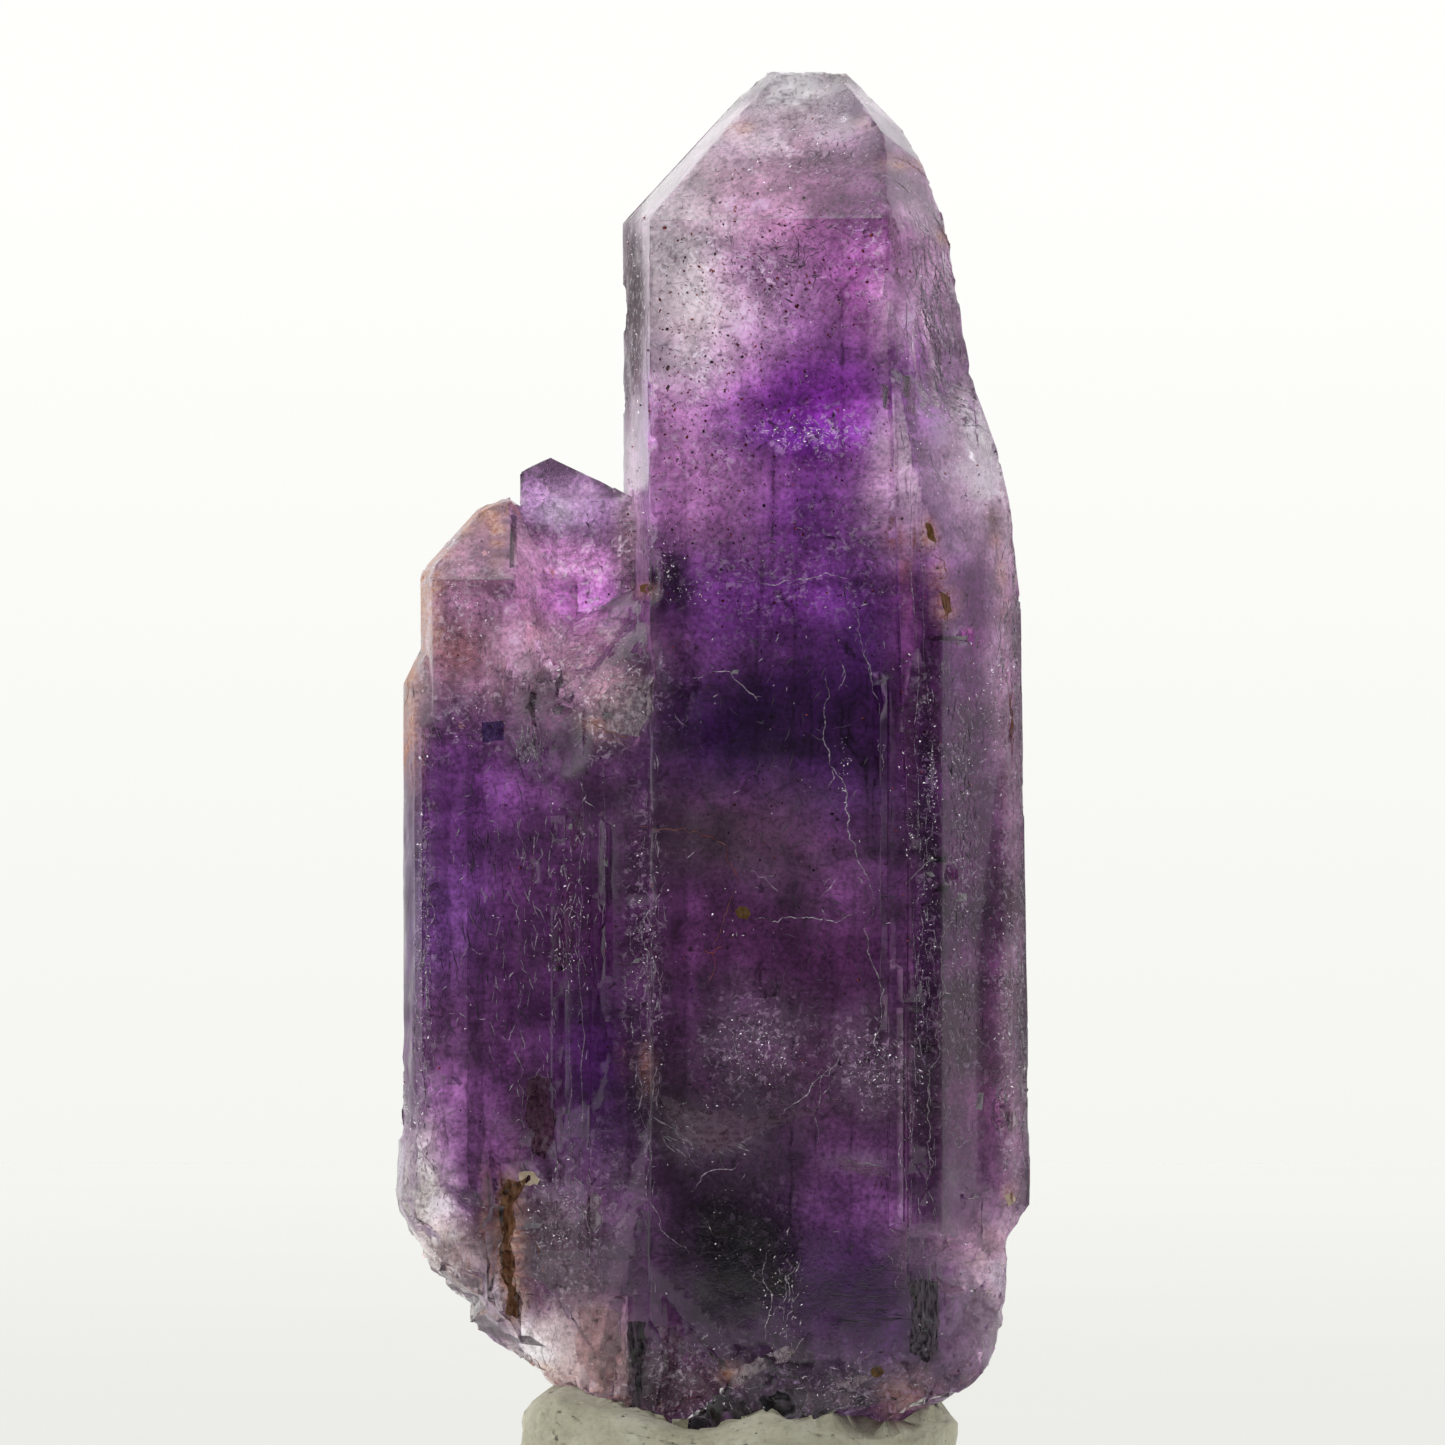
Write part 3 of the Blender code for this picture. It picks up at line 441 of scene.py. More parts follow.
class MaterialNodes(Nodes):
    """The nodes of a new material."""

    def __init__(self, name):
        self.material = bpy.data.materials.new(name)
        self.material.use_nodes = True
        super().__init__(self.material.node_tree)
        place = self.add("ShaderNodeTexCoord").outputs["Object"]
        self.place = self.vector("SCALE", place, scale=1 / MM)

    def noise(self, stretch, detail=4.0, roughness=0.55, distortion=0.0, shift=(0, 0, 0)):
        """Noise with so many lumps a millimetre along each axis."""
        place = self.vector("ADD", self.vector("MULTIPLY", self.place, stretch), shift)
        node = self.add("ShaderNodeTexNoise")
        self.fill(node, Vector=place, Scale=1, Detail=detail, Roughness=roughness, Distortion=distortion)
        return node.outputs["Fac"]

    def cells(self, stretch):
        """Voronoi cells: their distance and colour outputs."""
        place = self.vector("MULTIPLY", self.place, stretch)
        return self.fill(self.add("ShaderNodeTexVoronoi"), Vector=place, Scale=1)

    def attribute(self, name):
        return self.add("ShaderNodeAttribute", attribute_name=name).outputs

    def bump(self, height, distance, strength):
        node = self.add("ShaderNodeBump")
        return self.fill(node, Height=height, Distance=distance * MM, Strength=strength)["Normal"]

    def absorb(self, colour, density):
        """Plain absorption inside the closed shape: density is per metre."""
        outputs = self.fill(self.add("ShaderNodeVolumeAbsorption"), Color=colour, Density=density)
        self.fill(self.tree.nodes["Material Output"], Volume=outputs[0])

    def finish(self, **values):
        self.fill(self.tree.nodes["Principled BSDF"], **values)
        return self.material


def amethyst_material():
    """Clear quartz, tinted by zones, with growth lines, fine grain, painted glints and rusty stains."""
    n = MaterialNodes("amethyst")
    tint = n.attribute("tint")
    marks = n.attribute("marks")
    haze, stain, broken = n.split(marks["Color"])
    lines = n.noise((0.5, 0.5, 2.8), 4, 0.6, 0.0, (2, 7, 5))
    grain = n.noise((4.2, 4.2, 4.8), 4, 0.7, 0.0, (5, 5, 5))
    mottle = n.noise((1.2, 1.2, 0.9), 3, 0.65, 0.4, (8, 3, 1))
    level = n.times(n.ramp(lines, 0.3, 0.7, 0.84, 1.16), n.ramp(grain, 0.32, 0.68, 0.4, 1.6))
    level = n.times(level, n.ramp(mottle, 0.34, 0.66, 0.72, 1.28))
    grey = n.fill_in_turn(n.add("ShaderNodeCombineColor"), level, level, level)[0]
    colour = n.mix(1.0, tint["Color"], grey, "MULTIPLY")
    # Painted glints: small spots where the colour is lightened towards white, as strong as the tint's alpha
    painted_glints = n.ramp(n.noise((2.6, 2.6, 2.9), 3, 0.75, 0.6, (1, 9, 4)), 0.55, 0.62)
    colour = n.mix(n.times(n.times(tint["Alpha"], painted_glints), 0.8), colour, linear((248, 240, 250)))
    rust_shade = n.mix(n.ramp(grain, 0.35, 0.65), linear((184, 98, 50)), linear((254, 216, 182)))
    rust = n.times(stain, n.ramp(lines, 0.36, 0.56, 0.35, 1.1), True)
    colour = n.mix(rust, colour, rust_shade)
    # See-through, but milky and matt where the marks are
    cloudy = n.times(haze, n.ramp(grain, 0.3, 0.62, 0.4, 1.0), True)
    colour = n.mix(n.times(cloudy, 0.12), colour, linear((236, 228, 236)))
    cover = n.plus(n.times(cloudy, n.ramp(haze, 0.55, 1.0, 0.05, 0.5)), n.times(rust, 0.3))
    rough = n.plus(n.times(marks["Alpha"], 0.75), n.times(cloudy, 0.35))
    rough = n.plus(rough, n.times(rust, 0.3))
    rough = n.plus(rough, n.ramp(grain, 0.4, 0.7, 0.06, 0.16), True)
    rough = n.plus(rough, n.times(broken, 0.1), True)
    ruled = n.ramp(n.noise((0.16, 0.16, 0.2), 2, 0.5, 0.0, (6, 1, 4)), 0.5, 0.66, 0.05, 0.24)
    rubbed = n.plus(0.1, n.times(broken, 0.8))
    relief = n.plus(n.times(lines, ruled), n.times(grain, rubbed))
    n.absorb((0.62, 0.42, 0.74), 22)
    return n.finish(
        Base_Color=colour,
        Roughness=rough,
        IOR=QUARTZ_IOR,
        Transmission_Weight=n.math("SUBTRACT", 1.0, cover, True),
        Normal=n.bump(relief, 0.035, 0.6),
    )


def water_wall_material():
    """The wall between quartz and the water in its hollows: its shells face inward."""
    n = MaterialNodes("water_wall")
    return n.finish(
        Base_Color=n.mix(n.noise((2, 2, 2), 3), linear((236, 226, 214)), linear((250, 246, 242))),
        Roughness=n.ramp(n.noise((3, 3, 5), 3, 0.6, 0, (4, 2, 1)), 0.45, 0.75, 0.0, 0.12),
        IOR=WATER_TO_QUARTZ_IOR,
        Transmission_Weight=1.0,
    )


def bubble_wall_material():
    """The wall between the water and the gas bubble that moves in it."""
    n = MaterialNodes("bubble_wall")
    return n.finish(
        Base_Color=linear((252, 252, 252)),
        Roughness=n.ramp(n.noise((4, 4, 4), 2), 0.3, 0.7, 0.0, 0.04),
        IOR=WATER_IOR,
        Transmission_Weight=1.0,
    )


def mineral_material(name, dark, light, roughness, clear=0.0, metal=0.0, fineness=(6, 6, 6), ior=QUARTZ_IOR):
    """A mottled mineral for small grains, flakes and veins."""
    n = MaterialNodes(name)
    mottle = n.noise(fineness, 4, 0.65)
    return n.finish(
        Base_Color=n.mix(n.ramp(mottle, 0.3, 0.7), linear(dark), linear(light)),
        Roughness=n.ramp(mottle, 0.3, 0.7, roughness * 0.7, roughness * 1.2),
        Transmission_Weight=clear,
        Metallic=metal,
        IOR=ior,
    )


def putty_material():
    """Off-white putty, a little greenish, with painted shade in its hollows and dark specks."""
    n = MaterialNodes("putty")
    clouds = n.noise((0.35, 0.35, 0.5), 6, 0.6, 0.5)
    grain = n.noise((3.0, 3.0, 3.0), 6, 0.7, 0.2, (3, 1, 2))
    colour = n.mix(n.ramp(clouds, 0.3, 0.7), linear((200, 196, 170)), linear((224, 221, 200)))
    # Painted shade: darker where the grain is low, in the hollows of the bump
    colour = n.mix(n.ramp(grain, 0.3, 0.55, 0.45, 0.0), colour, linear((150, 146, 128)))
    specks = n.cells((1.7, 1.7, 1.7))
    chosen = n.ramp(n.split(specks["Color"])[0], 0.7, 0.72)
    colour = n.mix(n.times(n.ramp(specks["Distance"], 0.12, 0.07), chosen), colour, linear((84, 74, 66)))
    return n.finish(
        Base_Color=colour,
        Roughness=n.ramp(grain, 0.3, 0.7, 0.7, 0.9),
        Normal=n.bump(n.plus(n.times(grain, 0.6), clouds), 0.25, 0.7),
    )


def floor_material():
    n = MaterialNodes("pale_floor")
    colour = n.mix(n.noise((0.02, 0.02, 0.02), 3, 0.5), (0.875, 0.878, 0.845), (0.9, 0.903, 0.87))
    # Painted shade: the floor's colour is darker near the crystal and lighter further off
    shade = n.ramp(n.vector("LENGTH", n.place, output="Value"), 60, 720, 0.86, 0.945)
    colour = n.mix(n.math("SUBTRACT", 1.0, shade), colour, (0.0, 0.0, 0.0))
    return n.finish(Base_Color=colour, Roughness=0.9)


# The crystal


# How steeply facets lean, and their depths in mm: the most without the lean, and the most of all
FACET_STEEPNESS = 0.35
FACET_RISE = 0.25
DEEPEST_FACET = 0.6


def facets(points, size, seed):
    """Depths that break a surface into flat facets as wide as size, each with its own lean."""
    random = Random(seed)
    lowest, highest = points.min(axis=0), points.max(axis=0)
    count = int(np.prod((highest - lowest) / size + 1))
    seeds = [Vector([random.uniform(low, high) for low, high in zip(lowest, highest)]) for _ in range(count)]
    tree = KDTree(count)
    for number, seed_point in enumerate(seeds):
        tree.insert(seed_point, number)
    tree.balance()
    leans = [Vector([random.gauss(0, FACET_STEEPNESS) for _ in range(3)]) for _ in seeds]
    rises = [random.uniform(0, FACET_RISE) for _ in seeds]
    depths = np.empty(len(points))
    for number, point in enumerate(points):
        near, cell, _ = tree.find(point)
        depths[number] = rises[cell] + leans[cell].dot(Vector(point) - near)
    return np.clip(depths, 0, DEEPEST_FACET)


def smooth_face(x, z, depths, kept):
    """The depth, at each x and z, of the curved face that fits the kept points best."""
    terms = np.stack([np.ones_like(x), x, z, x * x, x * z, z * z], axis=1)
    return terms @ np.linalg.lstsq(terms[kept], depths[kept], rcond=None)[0]


def wear_down(points, normals, edges):
    """Moves the worn places onto smooth faces, with their points evenly spread. Returns how worn each is."""
    worn = np.zeros(len(points))
    depths = points[:, 1]
    for place in WORN:
        middle_x, middle_z, half_x, half_z = zone_in_mm(*place)
        x, z = points[:, 0] - middle_x, points[:, 2] - middle_z
        away = (x / half_x) ** 2 + (z / half_z) ** 2
        kept = (away < 2.8) & (normals[:, 1] < -0.6)
        for _ in range(FITTING_ROUNDS):
            face = smooth_face(x, z, depths, kept)
            error = np.abs(depths - face)
            kept &= error < max(WORN_CLOSE, np.median(error[kept]) * 2)
        share = np.clip((1 - away) / 0.3, 0, 1) * (error < WORN_REACH)
        depths += share * (face - depths)
        free = share > 0
        near = edges[free[edges].any(axis=1)]
        ends = np.concatenate([near, near[:, ::-1]])
        ends = ends[free[ends[:, 0]]]
        count = np.bincount(ends[:, 0], minlength=len(points))[free, None]
        for _ in range(SPREADING_ROUNDS):
            sums = [np.bincount(ends[:, 0], points[ends[:, 1], axis], len(points)) for axis in range(3)]
            middle = np.stack(sums, axis=1)[free] / count
            points[free] += share[free, None] * (middle - points[free]) * (1, 0, 1)
        x, z = points[:, 0] - middle_x, points[:, 2] - middle_z
        depths += share * (smooth_face(x, z, depths, kept) - depths)
        worn = np.maximum(worn, share)
    return worn


# Where a ray through the crystal starts, and what counts as its thickness if it doesn't come out, in mm
JUST_UNDER = 0.02
THICKEST = 20.0


def thickness_of(points, normals, mesh):
    """How thick the crystal is under each point."""
    tree = search_tree(points, mesh)
    thickness = np.full(len(points), THICKEST)
    for number, (point, normal) in enumerate(zip(points, normals)):
        distance = tree.ray_cast(Vector(point - normal * JUST_UNDER), Vector(-normal))[3]
        if distance is not None:
            thickness[number] = distance
    return thickness


# How deep the crystal's surface is cut, in mm: everywhere, by growth lines, by waves, on edges and by chips
SKIN_DEPTH = 0.02
LINE_DEPTH = 0.014
WAVE_DEPTH = 0.018
EDGE_DEPTH = 0.03
CHIP_DEPTH = 0.22
# The most of its thickness that is cut away, and the height below which the foot is broken all round, in mm
MOST_CUT = 0.3
BROKEN_BELOW = 9


def shape_crystal(mesh, on_edge):
    """Chips the edges, breaks the foot into facets and cuts growth lines into the upright faces."""
    points = points_of(mesh)
    normals = normals_of(mesh)
    worn = wear_down(points, normals, rows_of(mesh.edges, "vertices", 2, np.int32))
    normals += worn[:, None] * ((0, -1, 0) - normals)
    thickness = thickness_of(points, normals, mesh)
    upright = np.clip(1 - np.abs(normals[:, 2]) * 4, 0, 1)
    broken = np.maximum(spread_of(points, BROKEN, 85), np.clip((BROKEN_BELOW - points[:, 2]) / 3, 0, 1))
    side = np.round(np.arctan2(normals[:, 0], normals[:, 1]) * 3)
    shifted = points * (0.02, 0.02, 1) + side[:, None] * (0, 0, 7.3)
    lines = rough_noise(shifted, (1, 1, 1.7), 61, 3)
    wave = rough_noise(points, 6.0, 71, 3)
    rubble = 0.7 * facets(points, 2.2, 81) + 0.4 * facets(points, 1.0, 82)
    depth = SKIN_DEPTH + LINE_DEPTH * upright * lines + WAVE_DEPTH * wave + broken * rubble
    chips = np.clip(rough_noise(points, 0.8, 91, 3), 0, 1)
    depth = depth + on_edge * (1 - worn) * (EDGE_DEPTH + CHIP_DEPTH * chips**1.5)
    moved = points - normals * np.clip(depth, 0, MOST_CUT * thickness)[:, None]
    set_points(mesh, moved, "amethyst_crystal")


def paint_crystal(mesh):
    """Stores each point's colour, painted glints, haze, stains, rubbed places and matt places."""
    points = points_of(mesh)
    normals = normals_of(mesh)
    tint = np.ones((len(points), 4), np.float32)
    tint[:, :3] = crystal_tint(points, normals)
    # The tint's alpha says where glints are painted into the colour
    tint[:, 3] = spread_of(points, PAINTED_GLINT_PLACES, 141)
    marks = np.ones((len(points), 4), np.float32)
    marks[:, 0] = spread_of(points, HAZES, 101)
    marks[:, 1] = spread_of(points, STAINS, 111)
    low = np.clip((16 - points[:, 2]) / 6, 0, 1) * (0.6 + 0.5 * rough_noise(points, 2.0, 121))
    swarms = np.clip(rough_noise(points, 3.0, 126, 3) - 0.2, 0, 1)
    marks[:, 2] = np.clip(low + swarms + spread_of(points, RUBBED, 130), 0, 1)
    matt = np.clip(normals[:, 1] * 1.5 - 0.2, 0, 1) * (0.6 + 0.5 * rough_noise(points, 2.0, 127))
    back_left = np.clip(normals[:, 0] * -4 - 1, 0, 1) * np.clip(normals[:, 1] * 4 - 1, 0, 1)
    matt = np.maximum(matt, back_left * (1.2 + 0.3 * rough_noise(points, 2.0, 128)))
    marks[:, 3] = np.maximum(matt, spread_of(points, MATTS, 129))
    for name, values in (("tint", tint), ("marks", np.clip(marks, 0, 1))):
        attribute = mesh.attributes.new(name, "FLOAT_COLOR", "POINT")
        attribute.data.foreach_set("color", values.ravel())


def build_crystal():
    bm = gridded("amethyst_crystal", CRYSTAL_GRID)
    on_edge = mark_sharp(bm, CRYSTAL_SHARP_ANGLE)
    mesh = mesh_of(bm, "amethyst")
    shape_crystal(mesh, on_edge)
    mesh.shade_smooth()
    mesh.set_sharp_from_angle(angle=CRYSTAL_SHARP_ANGLE)
    paint_crystal(mesh)
    body = Body(mesh)
    add_hollows(mesh, body)
    crystal = add_object("amethyst", mesh, amethyst_material())
    mesh.materials.append(water_wall_material())
    mesh.materials.append(bubble_wall_material())
    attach(crystal, "root")
    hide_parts("amethyst_crystal")
    return crystal, body


# What is on and in the crystal


class Body:
    """Finds places on and in the crystal."""

    # How far from the middle rays along y start, and those towards the upright axis, in mm
    OUTSIDE = 40
    ALL_ROUND = 60

    def __init__(self, mesh):
        self.tree = search_tree(points_of(mesh), mesh)

    def hit(self, start, way, depth=0.0):
        """The first place that a ray meets, so deep under the surface, and the surface's normal."""
        place, normal, _, _ = self.tree.ray_cast(Vector(start), Vector(way))
        if place is None:
            return None, None
        return place - normal * depth, normal

    def front(self, px, py, depth=0.0):
        """The place seen at a pixel of the photograph."""
        x, z = photo_xz(px, py)
        return self.hit((x, -self.OUTSIDE, z), (0, 1, 0), depth)

    def through(self, px, py, share):
        """The place behind a pixel, at a share of the way from the front surface to the back one."""
        x, z = photo_xz(px, py)
        near, _ = self.front(px, py)
        far, _ = self.hit((x, self.OUTSIDE, z), (0, -1, 0))
        if near is None or far is None:
            return None
        return near.lerp(far, share)

    def around(self, angle, z, depth):
        """A place on the surface at a height, seen from a direction about the upright axis."""
        across, away = sin(angle), cos(angle)
        start = (self.ALL_ROUND * across, -self.ALL_ROUND * away, z)
        return self.hit(start, (-across, away, 0), depth)

    def depth(self, place):
        """How far a place is inside the crystal. It is negative outside."""
        near, normal, _, distance = self.tree.find_nearest(place)
        return distance if (place - near).dot(normal) < 0 else -distance


class Pile:
    """Many small closed shapes that make up one mesh."""

    def __init__(self, seed):
        self.points = []
        self.faces = []
        self.random = Random(seed)

    def frame_of(self, normal):
        """Two directions across a normal, turned at random."""
        normal = normal.normalized()
        side = normal.orthogonal().normalized()
        side.rotate(Matrix.Rotation(self.random.uniform(0, 2 * pi), 3, normal))
        return side, normal.cross(side)

    def any_way(self, most_depth=1.0, least_depth=0.0):
        """A direction at random, with at least and at most so much of it along the line of sight."""
        while True:
            way = Vector([self.random.gauss(0, 1) for _ in range(3)]).normalized()
            if least_depth <= abs(way.y) <= most_depth:
                return way

    def lens(self, outline, middle, normal, height):
        """A closed shape with a sharp outline and a low peak on either side."""
        start, sides = len(self.points), len(outline)
        self.points += [*outline, middle + normal * height, middle - normal * height]
        for number in range(sides):
            after = (number + 1) % sides
            self.faces.append((start + number, start + after, start + sides))
            self.faces.append((start + after, start + number, start + sides + 1))

    def flake(self, middle, normal, radius, thickness, sides=6, stretch=1.0, ragged=0.35):
        """A thin flake with an uneven outline and two low peaks."""
        across, away = self.frame_of(normal)
        outline = []
        for number in range(sides):
            angle = 2 * pi * number / sides
            reach = radius * (1 + self.random.uniform(-ragged, ragged))
            outline.append(middle + across * (cos(angle) * reach * stretch) + away * (sin(angle) * reach))
        self.lens(outline, middle, normal, thickness / 2)

    def ribbon(self, places, normals, widths, thickness):
        """A flattened string with pointed ends that lies along places on a surface."""
        start = len(self.points)
        last = len(places) - 1
        for number, (place, normal, width) in enumerate(zip(places, normals, widths)):
            tangent = (places[min(number + 1, last)] - places[max(number - 1, 0)]).normalized()
            side = tangent.cross(normal).normalized()
            size = 0.05 if number in (0, last) else 1.0
            self.points.append(place + side * width * size / 2)
            self.points.append(place + normal * thickness * size / 2)
            self.points.append(place - side * width * size / 2)
            self.points.append(place - normal * thickness * size / 2)
        for number in range(last):
            for corner in range(4):
                a = start + number * 4 + corner
                b = start + number * 4 + (corner + 1) % 4
                self.faces.append((a, a + 4, b + 4, b))
        self.faces.append((start, start + 1, start + 2, start + 3))
        end = start + last * 4
        self.faces.append((end + 3, end + 2, end + 1, end))

    def build(self, name, material, *looks, **more_looks):
        """Makes the piece, of a mineral with these looks."""
        mesh = bpy.data.meshes.new(name)
        mesh.from_pydata([point * MM for point in self.points], [], self.faces)
        obj = add_object(name, mesh, mineral_material(material, *looks, **more_looks))
        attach(obj, "root")


def crooked(path, spacing, jitter, random):
    """The corners of a path with uneven steps between them."""
    points = [Vector(point) for point in path]
    while max((b - a).length for a, b in zip(points, points[1:])) > spacing:
        finer = [points[0]]
        for a, b in zip(points, points[1:]):
            step = b - a
            if step.length > spacing:
                side = Vector((-step.y, step.x)) * random.gauss(0, jitter)
                finer.append((a + b) / 2 + side)
            finer.append(b)
        points = finer
    return points


def in_spot(random, px, py, half_px, half_py):
    """A place in an elliptical spot of the photograph, thicker in its middle."""
    return px + random.gauss(0, 0.5) * half_px, py + random.gauss(0, 0.5) * half_py


def between(smallest, largest, share):
    """A size between the smallest and the largest, by equal ratios."""
    return smallest * (largest / smallest) ** share


def pairs(row):
    """The x and y of each corner in a row that gives them in turn."""
    return list(zip(row[::2], row[1::2]))


# In the tables of gaps, fibres, plates, swarms and specks too, a row starts with a middle and two half-widths

# Inner cracks, made of thin gaps: shares of the way to the back that they lie between, count, and the
# smallest and largest radius in mm
GAPS = [
    (805, 435, 52, 20, 0.05, 0.8, 56, 0.15, 0.42), (830, 140, 42, 32, 0.05, 0.9, 51, 0.15, 0.42),
    (700, 270, 52, 90, 0.1, 0.9, 76, 0.15, 0.5), (800, 265, 36, 30, 0.05, 0.6, 36, 0.15, 0.35),
    (880, 240, 18, 60, 0.05, 0.5, 26, 0.15, 0.35), (950, 300, 26, 90, 0.1, 0.8, 40, 0.15, 0.46),
    (960, 460, 40, 50, 0.1, 0.8, 30, 0.15, 0.5), (870, 520, 40, 60, 0.2, 0.8, 21, 0.15, 0.38),
    (660, 560, 20, 50, 0.05, 0.5, 30, 0.1, 0.27), (760, 1050, 46, 42, 0.03, 0.5, 46, 0.2, 0.68),
    (875, 1065, 36, 36, 0.03, 0.5, 40, 0.2, 0.61), (705, 1125, 60, 40, 0.05, 0.4, 15, 0.6, 0.99),
    (785, 1300, 28, 62, 0.03, 0.5, 51, 0.15, 0.5), (620, 700, 34, 32, 0.1, 0.8, 30, 0.15, 0.42),
    (640, 960, 30, 70, 0.05, 0.4, 36, 0.15, 0.46), (565, 560, 40, 60, 0.1, 0.9, 30, 0.1, 0.31),
    (560, 1250, 42, 60, 0.05, 0.7, 46, 0.15, 0.54), (600, 1360, 30, 40, 0.1, 0.8, 21, 0.15, 0.46),
    (870, 1395, 60, 22, 0.1, 0.8, 36, 0.15, 0.46), (985, 1290, 20, 60, 0.1, 0.9, 21, 0.15, 0.46),
    (985, 900, 24, 260, 0.1, 0.9, 62, 0.15, 0.42), (435, 1000, 18, 220, 0.1, 0.9, 56, 0.15, 0.42),
    (470, 620, 40, 90, 0.1, 0.9, 36, 0.15, 0.46), (780, 760, 220, 600, 0.15, 0.95, 153, 0.2, 0.74),
    (500, 940, 80, 340, 0.15, 0.95, 62, 0.2, 0.61),
]
LARGEST_GAP = 0.3
SMALLEST_GAP = 0.1
GAP_THICKNESS = 0.02
LEAST_WALL = 0.15

# Water hollows: top and bottom in photo pixels, half-width in mm, and depth under the surface in mm
CHAMBERS = [
    ((566, 868), (558, 974), 0.62, 1.15),
    ((572, 806), (571, 850), 0.34, 0.85),
    ((529, 848), (530, 890), 0.24, 0.7),
]
# How wide a large chamber is at least, how flat chambers are, and how much they narrow upwards
LARGE_CHAMBER = 0.5
CHAMBER_FLATNESS = 0.75
CHAMBER_TAPER = 0.55
# The bubble's width as a share of the chamber's, and its place along it in a large chamber and in a small one
BUBBLE_SIZE = 0.5
LOW_BUBBLE = -0.42
HIGH_BUBBLE = 0.2

# The material of each part of the crystal's mesh, and the colour of the inner walls
QUARTZ_SLOT, WATER_SLOT, BUBBLE_SLOT = 0, 1, 2
WALL_TINT = (0.94, 0.9, 0.96, 0)
NO_MARKS = (0, 0, 0, 0)


def ellipsoid(middle, axis, side, lengths, rings, sides, taper=0.0):
    """Points and faces of an egg shape. Taper narrows its upper end."""
    out = axis.cross(side).normalized()
    side = out.cross(axis).normalized()
    points = [middle + axis * lengths[0]]
    for ring in range(1, rings):
        angle = pi * ring / rings
        up, width = cos(angle), sin(angle)
        width *= 1 - taper * max(0.0, up + 0.35) / 1.35
        for number in range(sides):
            turn = 2 * pi * number / sides
            across = side * cos(turn) * lengths[1] * width + out * sin(turn) * lengths[2] * width
            points.append(middle + axis * up * lengths[0] + across)
    points.append(middle - axis * lengths[0])
    faces = []
    for number in range(sides):
        after = (number + 1) % sides
        faces.append((0, 1 + after, 1 + number))
        for ring in range(rings - 2):
            a, b = 1 + ring * sides, 1 + (ring + 1) * sides
            faces.append((a + number, a + after, b + after, b + number))
        end = 1 + (rings - 2) * sides
        faces.append((end + number, end + after, len(points) - 1))
    return points, faces


def facing_in(points, faces):
    """The faces, each turned so that the closed shape's normals point inward."""
    middle = sum(points, Vector()) / len(points)
    turned = []
    for face in faces:
        a, b, c = (points[number] for number in face[:3])
        inward = (b - a).cross(c - a).dot((a + b + c) / 3 - middle) < 0
        turned.append(tuple(face) if inward else tuple(reversed(face)))
    return turned


def add_gaps(pile, body):
    """The thin gaps of the inner cracks, with their faces turned inward."""
    random = pile.random
    for px, py, half_px, half_py, near, far, count, small, large in GAPS:
        for _ in range(count):
            x = px + random.uniform(-1, 1) * half_px
            y = py + random.uniform(-1, 1) * half_py
            place = body.through(x, y, random.uniform(near, far))
            radius = between(small, large, random.random())
            if place is None:
                continue
            radius = min(radius, LARGEST_GAP, (body.depth(place) - LEAST_WALL) / 1.5)
            if radius < SMALLEST_GAP:
                continue
            start = len(pile.faces)
            facing = pile.any_way(0.6)
            pile.flake(place, facing, radius, GAP_THICKNESS, 9, random.uniform(0.2, 0.8), 0.75)
            pile.faces[start:] = [tuple(reversed(face)) for face in pile.faces[start:]]


def add_hollows(mesh, body):
    """Adds the inner cracks and the water hollows, each with its gas bubble, to the crystal's own mesh."""
    pile = Pile(31)
    add_gaps(pile, body)
    slots = [QUARTZ_SLOT] * len(pile.faces)
    for top_spot, low_spot, width, depth in CHAMBERS:
        top, normal = body.front(*top_spot, depth)
        low, _ = body.front(*low_spot, depth)
        axis = (top - low) / 2
        middle = (top + low) / 2
        length = axis.length
        axis.normalize()
        side = axis.cross(normal)
        lengths = (length, width, width * CHAMBER_FLATNESS)
        shell = ellipsoid(middle, axis, side, lengths, 16, 20, CHAMBER_TAPER)
        shift = LOW_BUBBLE if width > LARGE_CHAMBER else HIGH_BUBBLE
        bubble = ellipsoid(middle + axis * length * shift, axis, side, [width * BUBBLE_SIZE] * 3, 10, 14)
        for (points, faces), slot in ((shell, WATER_SLOT), (bubble, BUBBLE_SLOT)):
            start = len(pile.points)
            pile.points += points
            pile.faces += [tuple(number + start for number in face) for face in facing_in(points, faces)]
            slots += [slot] * len(faces)
    join_shells(mesh, pile, slots)


def join_shells(mesh, pile, slots):
    """Adds a pile's closed shapes to a mesh that has its points painted."""
    bm = bmesh.new()
    bm.from_mesh(mesh)
    tint = bm.verts.layers.float_color["tint"]
    marks = bm.verts.layers.float_color["marks"]
    verts = []
    for point in pile.points:
        vert = bm.verts.new(point * MM)
        vert[tint] = WALL_TINT
        vert[marks] = NO_MARKS
        verts.append(vert)
    for numbers, slot in zip(pile.faces, slots):
        face = bm.faces.new([verts[number] for number in numbers])
        face.material_index = slot
        face.smooth = slot != QUARTZ_SLOT
    bm.to_mesh(mesh)
    bm.free()
